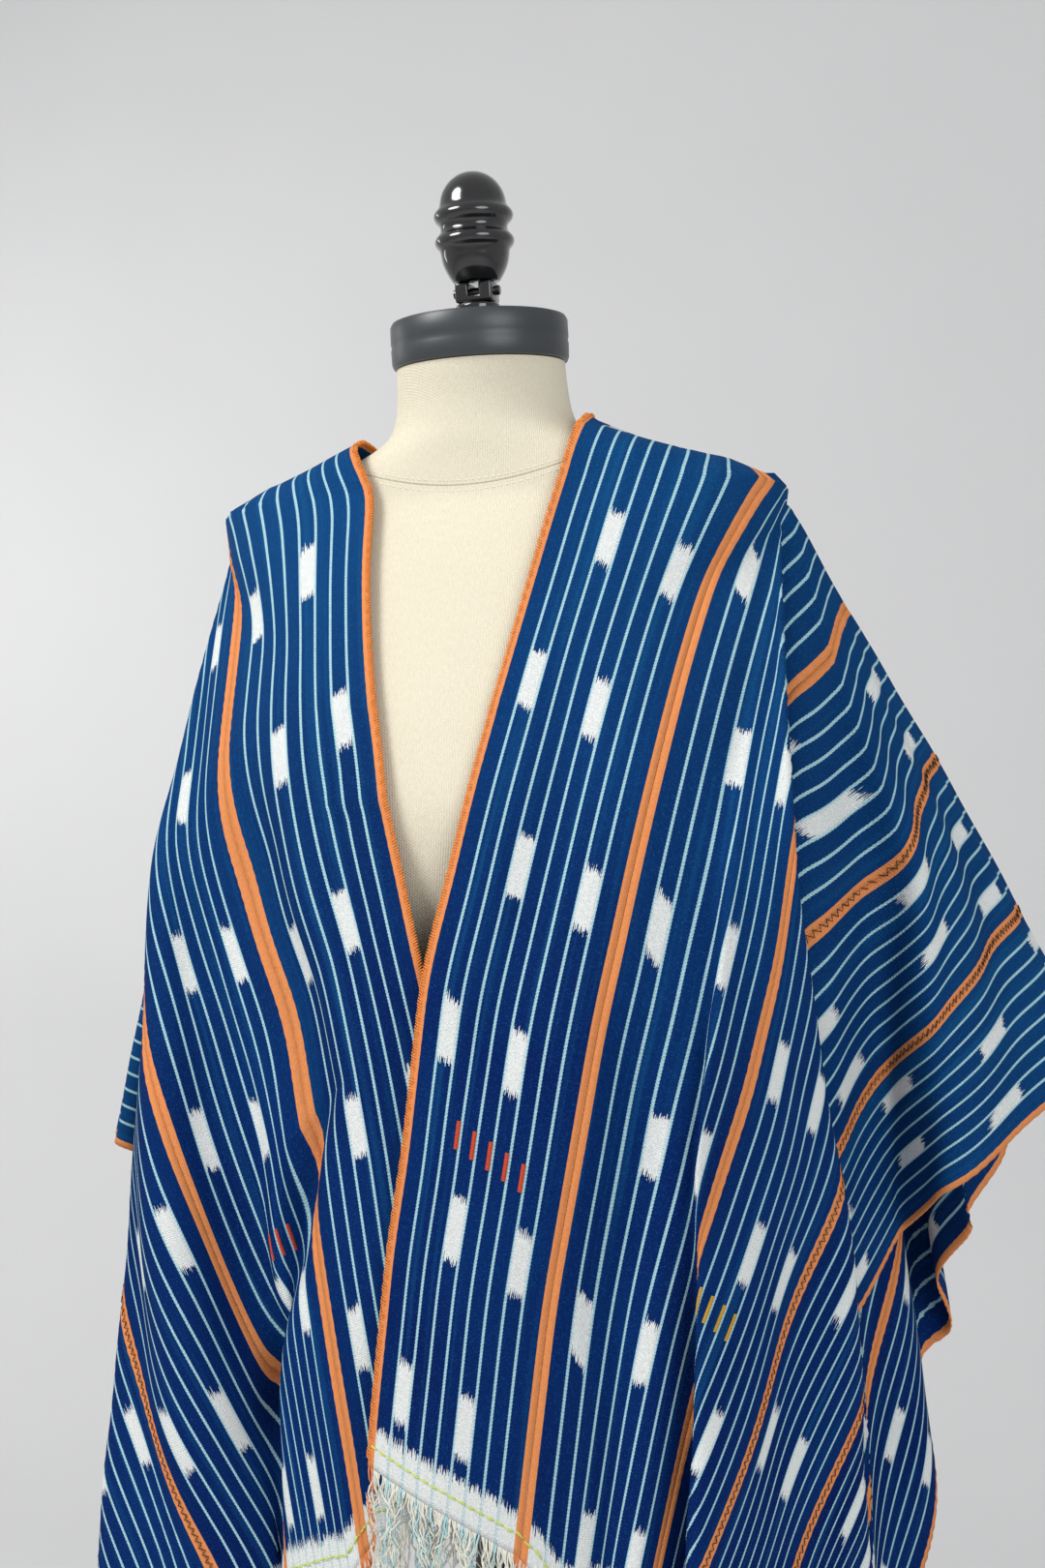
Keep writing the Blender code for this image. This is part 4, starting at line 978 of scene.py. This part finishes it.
def makeFringe(sideName, half, material):
    sign = -1 if half == "front" else 1
    random = np.random.default_rng(11 if half == "front" else 23)
    count = int(cloth["halfWidth"] / fringe["pitch"])
    s = np.linspace(0.001, cloth["halfWidth"] - 0.001, count) + random.normal(0, fringe["scatter"], count)
    s = np.clip(s, 0.0006, cloth["halfWidth"] - 0.0006)
    paths = warpEndPaths(sideName, sign, s, random)
    taper = np.linspace(1, fringe["tipShare"], fringe["points"])
    points, faces = tubes(paths, fringe["thread"], taper=taper)
    # each end is the colour of its yarn: orange selvedge, pale line or undyed
    inStrip = s % cloth["stripWidth"]
    lineAt = (inStrip - weave["firstLine"]) / weave["linePitch"]
    first, last = weave["linesShown"]
    pale = (np.abs(lineAt - np.round(lineAt)) < 0.14) & (lineAt > first) & (lineAt < last)
    orange = (inStrip < weave["selvedge"]) | (inStrip > cloth["stripWidth"] - weave["selvedge"])
    shade = np.where(orange, 1.0, np.where(pale, 0.5, random.uniform(0, 0.12, count)))
    shades = np.repeat(shade, fringe["points"] * 4)
    piece = newMeshObject(f"{sideName}Fringe_{half}", points, faces, shades=shades)
    piece.data.materials.append(material)
    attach(piece, "root")
    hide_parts(f"fringe_{half}_{sideName}")
    return piece


def fringeMaterial():
    material, tree, shader = newMaterial("warpEnds", 0.85)
    shade = tree.nodes.new("ShaderNodeAttribute")
    shade.attribute_name = "threadShade"
    value = shade.outputs["Fac"]
    ply = noise(tree, objectPlace(tree), 900.0, 2.0)
    cream = blend(tree, ply, (0.88, 0.86, 0.77, 1), (0.68, 0.67, 0.58, 1))
    colour = blend(tree, maths(tree, "GREATER_THAN", value, 0.3), cream, (0.46, 0.70, 0.74, 1))
    colour = blend(tree, maths(tree, "GREATER_THAN", value, 0.8), colour, (0.78, 0.26, 0.08, 1))
    tree.links.new(colour, shader.inputs["Base Color"])
    raised(tree, shader, ply, 0.0002, 0.6)
    return material


warpEnds = fringeMaterial()
fringePieces = {
    name: [makeFringe(name, half, warpEnds) for half in ("front", "back")] for name in drapes
}
print("fringe knotted")

# the dress form

formShape = {
    "inset": 0.0018, "sides": 96, "step": 0.008, "fineStep": 0.003, "fineAbove": 1.36,
    "neckTilt": math.radians(10), "neckFrom": 1.425, "neckTop": 1.460,
}


def formRing(z):
    angle = np.arange(formShape["sides"]) * 2 * math.pi / formShape["sides"]
    power = section(z, roundness)
    c, s = np.cos(angle), np.sin(angle)
    depth = np.where(s < 0, section(z, toFront), section(z, toBack)) - formShape["inset"]
    x = (section(z, halfWide) - formShape["inset"]) * np.sign(c) * np.abs(c) ** (2 / power)
    y = depth * np.sign(s) * np.abs(s) ** (2 / power)
    neck = ease((z - formShape["neckFrom"]) / (formShape["neckTop"] - formShape["neckFrom"]))
    height = z + y * math.tan(formShape["neckTilt"]) * neck - formShape["inset"] * (1 - neck)
    return np.stack([x, y + section(z, middleY), height], axis=-1)


def makeForm():
    low, middle, high = formSections[0][0], formShape["fineAbove"], formShape["neckTop"]
    coarse, fine = np.arange(low, middle, formShape["step"]), np.arange(middle, high, formShape["fineStep"])
    heights = np.unique(np.concatenate([coarse, fine, [high]]))
    # a linen cover pulled over padding has no hard breaks
    rings = settled(np.array([formRing(z) for z in heights]), 4)
    count, sides = rings.shape[:2]
    i, j = np.meshgrid(np.arange(count - 1), np.arange(sides), indexing="ij")
    n = (j + 1) % sides
    faces = np.stack([i * sides + j, i * sides + n, (i + 1) * sides + n, (i + 1) * sides + j], axis=-1)
    body = newMeshObject("formBody", rings.reshape(-1, 3), faces.reshape(-1, 4))
    deselectAll()
    bpy.context.view_layer.objects.active = body
    body.select_set(True)
    bpy.ops.object.mode_set(mode="EDIT")
    bpy.ops.mesh.select_all(action="DESELECT")
    bpy.ops.mesh.select_mode(type="EDGE")
    bpy.ops.mesh.select_non_manifold()
    bpy.ops.mesh.edge_face_add()
    bpy.ops.mesh.select_all(action="SELECT")
    bpy.ops.mesh.normals_make_consistent(inside=False)
    bpy.ops.object.mode_set(mode="OBJECT")
    bpy.ops.object.shade_smooth_by_angle(angle=math.radians(50))
    body.select_set(False)
    return body


linenCover = {
    "threadPitch": 0.0016,
    "pale": (0.84, 0.79, 0.64, 1),
    "slub": (0.67, 0.61, 0.46, 1),
    "dusty": (0.60, 0.54, 0.40, 1),
    "grooveShade": (0.42, 0.37, 0.27, 1),
    "stitchThread": (0.86, 0.82, 0.70, 1),
    "seamHeight": 1.3755,
    "seamDip": 2.7,
    "grooveHalf": 0.0009,
    "stitchOffset": 0.0032,
    "stitchHalf": 0.0007,
    "stitchPitch": 0.0045,
}


def linenMaterial():
    material, tree, shader = newMaterial("formLinen", 0.85)
    m = mathsFor(tree)
    place = objectPlace(tree)
    parts = tree.nodes.new("ShaderNodeSeparateXYZ")
    tree.links.new(place, parts.inputs[0])
    x, y, z = parts.outputs
    around = m.plus(x, m.times(y, 0.6))
    threadTurn = 2 * math.pi / linenCover["threadPitch"]
    warp = m.sine(m.times(around, threadTurn))
    weft = m.sine(m.times(m.plus(z, m.times(around, 0.6)), threadTurn))
    slub = noise(tree, joined(tree, m.times(around, 900.0), m.times(z, 260.0), y), 1.0, 3.0)
    tone = noise(tree, place, 14.0, 3.0)
    linen = blend(tree, slub, linenCover["pale"], linenCover["slub"])
    linen = blend(tree, m.times(tone, 0.25), linen, linenCover["dusty"])
    # the seam round the base of the neck, with a row of stitches on each side
    seamPath = m.timesPlus(m.times(x, x), linenCover["seamDip"], linenCover["seamHeight"])
    fromSeam = m.size(m.minus(z, seamPath))
    groove = m.timesPlus(fromSeam, -1 / linenCover["grooveHalf"], 1.0, clamp=True)
    stitches = m.above(m.sine(m.times(x, 2 * math.pi / linenCover["stitchPitch"])), -0.3)
    fromRow = m.size(m.minus(fromSeam, linenCover["stitchOffset"]))
    stitch = m.times(m.timesPlus(fromRow, -1 / linenCover["stitchHalf"], 1.0, clamp=True), stitches)
    linen = blend(tree, m.times(groove, 0.3), linen, linenCover["grooveShade"])
    linen = blend(tree, m.times(stitch, 0.6), linen, linenCover["stitchThread"])
    height = m.plus(m.timesPlus(warp, 0.25, m.times(weft, 0.3)), slub)
    height = m.timesPlus(stitch, 1.6, m.timesPlus(groove, -3.0, height))
    tree.links.new(linen, shader.inputs["Base Color"])
    raised(tree, shader, height, 0.0003, 0.7)
    return material


formBody = makeForm()
formBody.data.materials.append(linenMaterial())
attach(formBody, "root")
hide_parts("form_torso")
print("form covered")

# cap, finial and yoke, turned round the neck's axis

capShape = {"height": 0.029, "gap": 0.0003}
neckTopCentre = (0, section(formShape["neckTop"], middleY), formShape["neckTop"])
capFrame = Matrix.Translation(neckTopCentre) @ Matrix.Rotation(formShape["neckTilt"], 4, "X")
seatFrame = capFrame @ Matrix.Translation((0, 0, capShape["height"] + 2 * capShape["gap"]))
capProfile = [
    (0.0003, 0.0545), (0.0012, 0.0566), (0.0033, 0.0575), (0.0120, 0.0577), (0.0140, 0.0571),
    (0.0160, 0.0577), (0.0263, 0.0575), (0.0286, 0.0562), (0.0293, 0.0540), (0.0290, 0.0300),
    (0.0296, 0.0200),
]
finialProfile = [
    (0.0233, 0.0148), (0.0236, 0.0152), (0.0262, 0.0170), (0.0290, 0.0187), (0.0320, 0.0201),
    (0.0350, 0.0212), (0.0385, 0.0219), (0.0418, 0.0223), (0.0436, 0.0231), (0.0447, 0.0243),
    (0.0463, 0.0253), (0.0480, 0.0257), (0.0497, 0.0253), (0.0513, 0.0243), (0.0524, 0.0231),
    (0.0540, 0.0220), (0.0560, 0.0215), (0.0580, 0.0220), (0.0593, 0.0231), (0.0604, 0.0243),
    (0.0620, 0.0253), (0.0637, 0.0257), (0.0654, 0.0253), (0.0670, 0.0243), (0.0681, 0.0231),
    (0.0697, 0.0220), (0.0720, 0.0214), (0.0750, 0.0208), (0.0785, 0.0196), (0.0820, 0.0175),
    (0.0850, 0.0150), (0.0875, 0.0118), (0.0893, 0.0084), (0.0905, 0.0045), (0.0910, 0.0015),
]
yokeFootProfile = [
    (0.0001, 0.0155), (0.0008, 0.0164), (0.0022, 0.0165), (0.0034, 0.0156), (0.0042, 0.0146),
    (0.0060, 0.0140), (0.0078, 0.0144), (0.0090, 0.0140), (0.0098, 0.0128),
]


def turnedPiece(name, profile, sides, place):
    # a circle, extruded and scaled ring by ring up the profile, then closed at both ends
    deselectAll()
    bottom, radius = profile[0]
    bpy.ops.mesh.primitive_circle_add(
        vertices=sides, radius=radius, fill_type="NGON", location=(0, 0, bottom)
    )
    piece = bpy.context.active_object
    piece.name = name
    bpy.ops.object.transform_apply(location=True, rotation=True, scale=True)
    bpy.ops.object.mode_set(mode="EDIT")
    bpy.ops.mesh.select_all(action="SELECT")
    for (low, was), (high, now) in zip(profile, profile[1:]):
        bpy.ops.mesh.extrude_region_move(TRANSFORM_OT_translate={"value": (0, 0, high - low)})
        bpy.ops.transform.resize(value=(now / was, now / was, 1))
    bpy.ops.mesh.select_all(action="SELECT")
    bpy.ops.mesh.normals_make_consistent(inside=False)
    bpy.ops.object.mode_set(mode="OBJECT")
    piece.data.transform(place)
    bpy.ops.object.shade_smooth_by_angle(angle=math.radians(40))
    piece.select_set(False)
    return piece


yokeShape = {
    "block": (0.0245, 0.020, 0.0127), "blockMiddle": 0.01655,
    "slot": (0.007, 0.03, 0.013), "slotMiddle": 0.0210,
    "screwRadius": 0.0030, "screwLength": 0.0310, "screwHeight": 0.0172,
}


def addBlock(size, height):
    bpy.ops.mesh.primitive_cube_add(size=1, location=(0, 0, height))
    block = bpy.context.active_object
    block.scale = size
    bpy.ops.object.transform_apply(location=True, rotation=True, scale=True)
    return block


def softened(piece, width, segments):
    # edges rounded over, then the piece is put on its seat
    soften = piece.modifiers.new("soften", "BEVEL")
    soften.width = width
    soften.segments = segments
    bpy.ops.object.modifier_apply(modifier="soften")
    piece.data.transform(seatFrame)
    bpy.ops.object.shade_smooth_by_angle(angle=math.radians(40))
    deselectAll()


def makeYoke():
    # a block with a slot sawn through its top, and the screw across the slot
    deselectAll()
    block = addBlock(yokeShape["block"], yokeShape["blockMiddle"])
    block.name = "finialYoke"
    saw = addBlock(yokeShape["slot"], yokeShape["slotMiddle"])
    cut = block.modifiers.new("slot", "BOOLEAN")
    cut.object = saw
    cut.operation = "DIFFERENCE"
    deselectAll()
    bpy.context.view_layer.objects.active = block
    block.select_set(True)
    bpy.ops.object.modifier_apply(modifier="slot")
    bpy.data.objects.remove(saw, do_unlink=True)
    softened(block, 0.0016, 3)
    bpy.ops.mesh.primitive_cylinder_add(
        vertices=24, radius=yokeShape["screwRadius"], depth=yokeShape["screwLength"],
        location=(0, 0, yokeShape["screwHeight"]), rotation=(0, math.pi / 2, 0),
    )
    screw = bpy.context.active_object
    screw.name = "yokeScrew"
    bpy.ops.object.transform_apply(location=True, rotation=True, scale=True)
    softened(screw, 0.0006, 2)
    return block, screw


def paintMaterial(name, colour, worn, roughness, metallic=0.0, coat=0.0):
    material, tree, shader = newMaterial(name, roughness, Metallic=metallic)
    shader.inputs["Coat Weight"].default_value = coat
    shader.inputs["Coat Roughness"].default_value = 0.06
    place = objectPlace(tree)
    cloudy = noise(tree, place, 35.0, 4.0)
    fine = noise(tree, place, 900.0, 2.0)
    paint = blend(tree, maths(tree, "MULTIPLY", cloudy, 0.6), colour, worn)
    tree.links.new(paint, shader.inputs["Base Color"])
    tree.links.new(maths(tree, "MULTIPLY_ADD", cloudy, 0.12, roughness - 0.05), shader.inputs["Roughness"])
    raised(tree, shader, fine, 0.0001, 0.15)
    return material


capPaint = paintMaterial("capSatin", (0.045, 0.050, 0.055, 1), (0.075, 0.082, 0.088, 1), 0.36, 0.25)
lacquer = paintMaterial("finialLacquer", (0.004, 0.004, 0.005, 1), (0.009, 0.009, 0.010, 1), 0.16, 0.0, 0.9)
standPaint = paintMaterial("standPaint", (0.022, 0.023, 0.025, 1), (0.045, 0.046, 0.050, 1), 0.42, 0.4)

neckCap = turnedPiece("neckCap", capProfile, 96, capFrame)
finial = turnedPiece("turnedFinial", finialProfile, 96, seatFrame)
yokeFoot = turnedPiece("yokeFootTurned", yokeFootProfile, 64, seatFrame)
yoke, yokeScrew = makeYoke()
for piece, paint, slot, node in (
    (neckCap, capPaint, "cap_black", "neck_cap"),
    (finial, lacquer, "finial_black", "finial"),
    (yokeFoot, lacquer, "finial_black", "yoke_foot"),
    (yoke, lacquer, "finial_black", "finial_yoke"),
    (yokeScrew, lacquer, "finial_black", None),
):
    piece.data.materials.clear()
    piece.data.materials.append(paint)
    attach(piece, "root")
    if node:
        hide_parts(node)
for name in ("stand_pole", "stand_base"):
    for slot in nodes[name].material_slots:
        slot.material = standPaint
print("cap, finial and stand finished")

# stage, light and camera

stageShape = {
    "half": 4.0, "wallAt": 2.3, "wallHeight": 5.0, "bend": 0.8,
    "paper": (0.70, 0.70, 0.705, 1), "shaded": (0.67, 0.67, 0.675, 1),
}
# place, target, size, watts and colour
studioLights = {
    "keySoftbox": ((-1.5, -1.6, 2.8), (0, 0, 1.25), 1.3, 56, (1.0, 0.99, 0.97)),
    "fillSoftbox": ((1.9, -2.2, 1.7), (0, 0, 1.1), 1.8, 30, (0.97, 0.98, 1.0)),
    "backdropWash": ((-2.4, 0.7, 1.9), (-1.6, 2.3, 1.2), 1.2, 14, (1.0, 1.0, 1.0)),
}


def makeStage():
    half, wall, bend = stageShape["half"], stageShape["wallAt"], stageShape["bend"]
    profile = [(-half, 0.0), (wall - bend, 0.0)]
    for turn in np.linspace(0.1, math.pi / 2, 12):
        profile.append((wall - bend + bend * math.sin(turn), bend - bend * math.cos(turn)))
    profile.append((wall, stageShape["wallHeight"]))
    points = [(x, y, z) for x in (-half, half) for y, z in profile]
    count = len(profile)
    faces = [(i, i + count, i + count + 1, i + 1) for i in range(count - 1)]
    stage = newMeshObject("studioSweep", points, faces)
    material, tree, shader = newMaterial("paperSweep", 0.9)
    mottle = noise(tree, objectPlace(tree), 3.0, 3.0)
    paper = blend(tree, mottle, stageShape["paper"], stageShape["shaded"])
    tree.links.new(paper, shader.inputs["Base Color"])
    # seen from behind, the sweep doesn't hide the form
    clear = tree.nodes.new("ShaderNodeBsdfTransparent")
    sides = tree.nodes.new("ShaderNodeMixShader")
    tree.links.new(tree.nodes.new("ShaderNodeNewGeometry").outputs["Backfacing"], sides.inputs[0])
    tree.links.new(shader.outputs[0], sides.inputs[1])
    tree.links.new(clear.outputs[0], sides.inputs[2])
    tree.links.new(sides.outputs[0], tree.nodes["Material Output"].inputs["Surface"])
    stage.data.materials.append(material)


def addLight(name, place, target, size, power, colour):
    data = bpy.data.lights.new(name, "AREA")
    data.shape = "DISK"
    data.size = size
    data.energy = power
    data.color = colour
    light = bpy.data.objects.new(name, data)
    light.location = place
    light.rotation_euler = (Vector(target) - Vector(place)).to_track_quat("-Z", "Y").to_euler()
    bpy.context.scene.collection.objects.link(light)


makeStage()
for name, settings in studioLights.items():
    addLight(name, *settings)
world = bpy.data.worlds.new("softRoom")
world.use_nodes = True
background = world.node_tree.nodes["Background"]
background.inputs["Color"].default_value = (0.86, 0.87, 0.88, 1)
background.inputs["Strength"].default_value = 0.55
bpy.context.scene.world = world
bpy.context.scene.view_settings.view_transform = "Standard"

view = {
    "azimuth": math.radians(17), "distance": 1.13, "height": 1.12,
    "lens": 38.89, "shiftX": 0.0179, "shiftY": 0.0679,
}
cameraData = bpy.data.cameras.new("studioCamera")
cameraData.lens = view["lens"]
cameraData.sensor_width = 36
cameraData.shift_x = view["shiftX"]
cameraData.shift_y = view["shiftY"]
camera = bpy.data.objects.new("studioCamera", cameraData)
camera.location = (
    view["distance"] * math.sin(view["azimuth"]),
    -view["distance"] * math.cos(view["azimuth"]),
    view["height"],
)
camera.rotation_euler = (math.pi / 2, 0, view["azimuth"])
bpy.context.scene.collection.objects.link(camera)
bpy.context.scene.camera = camera
print("stage lit")
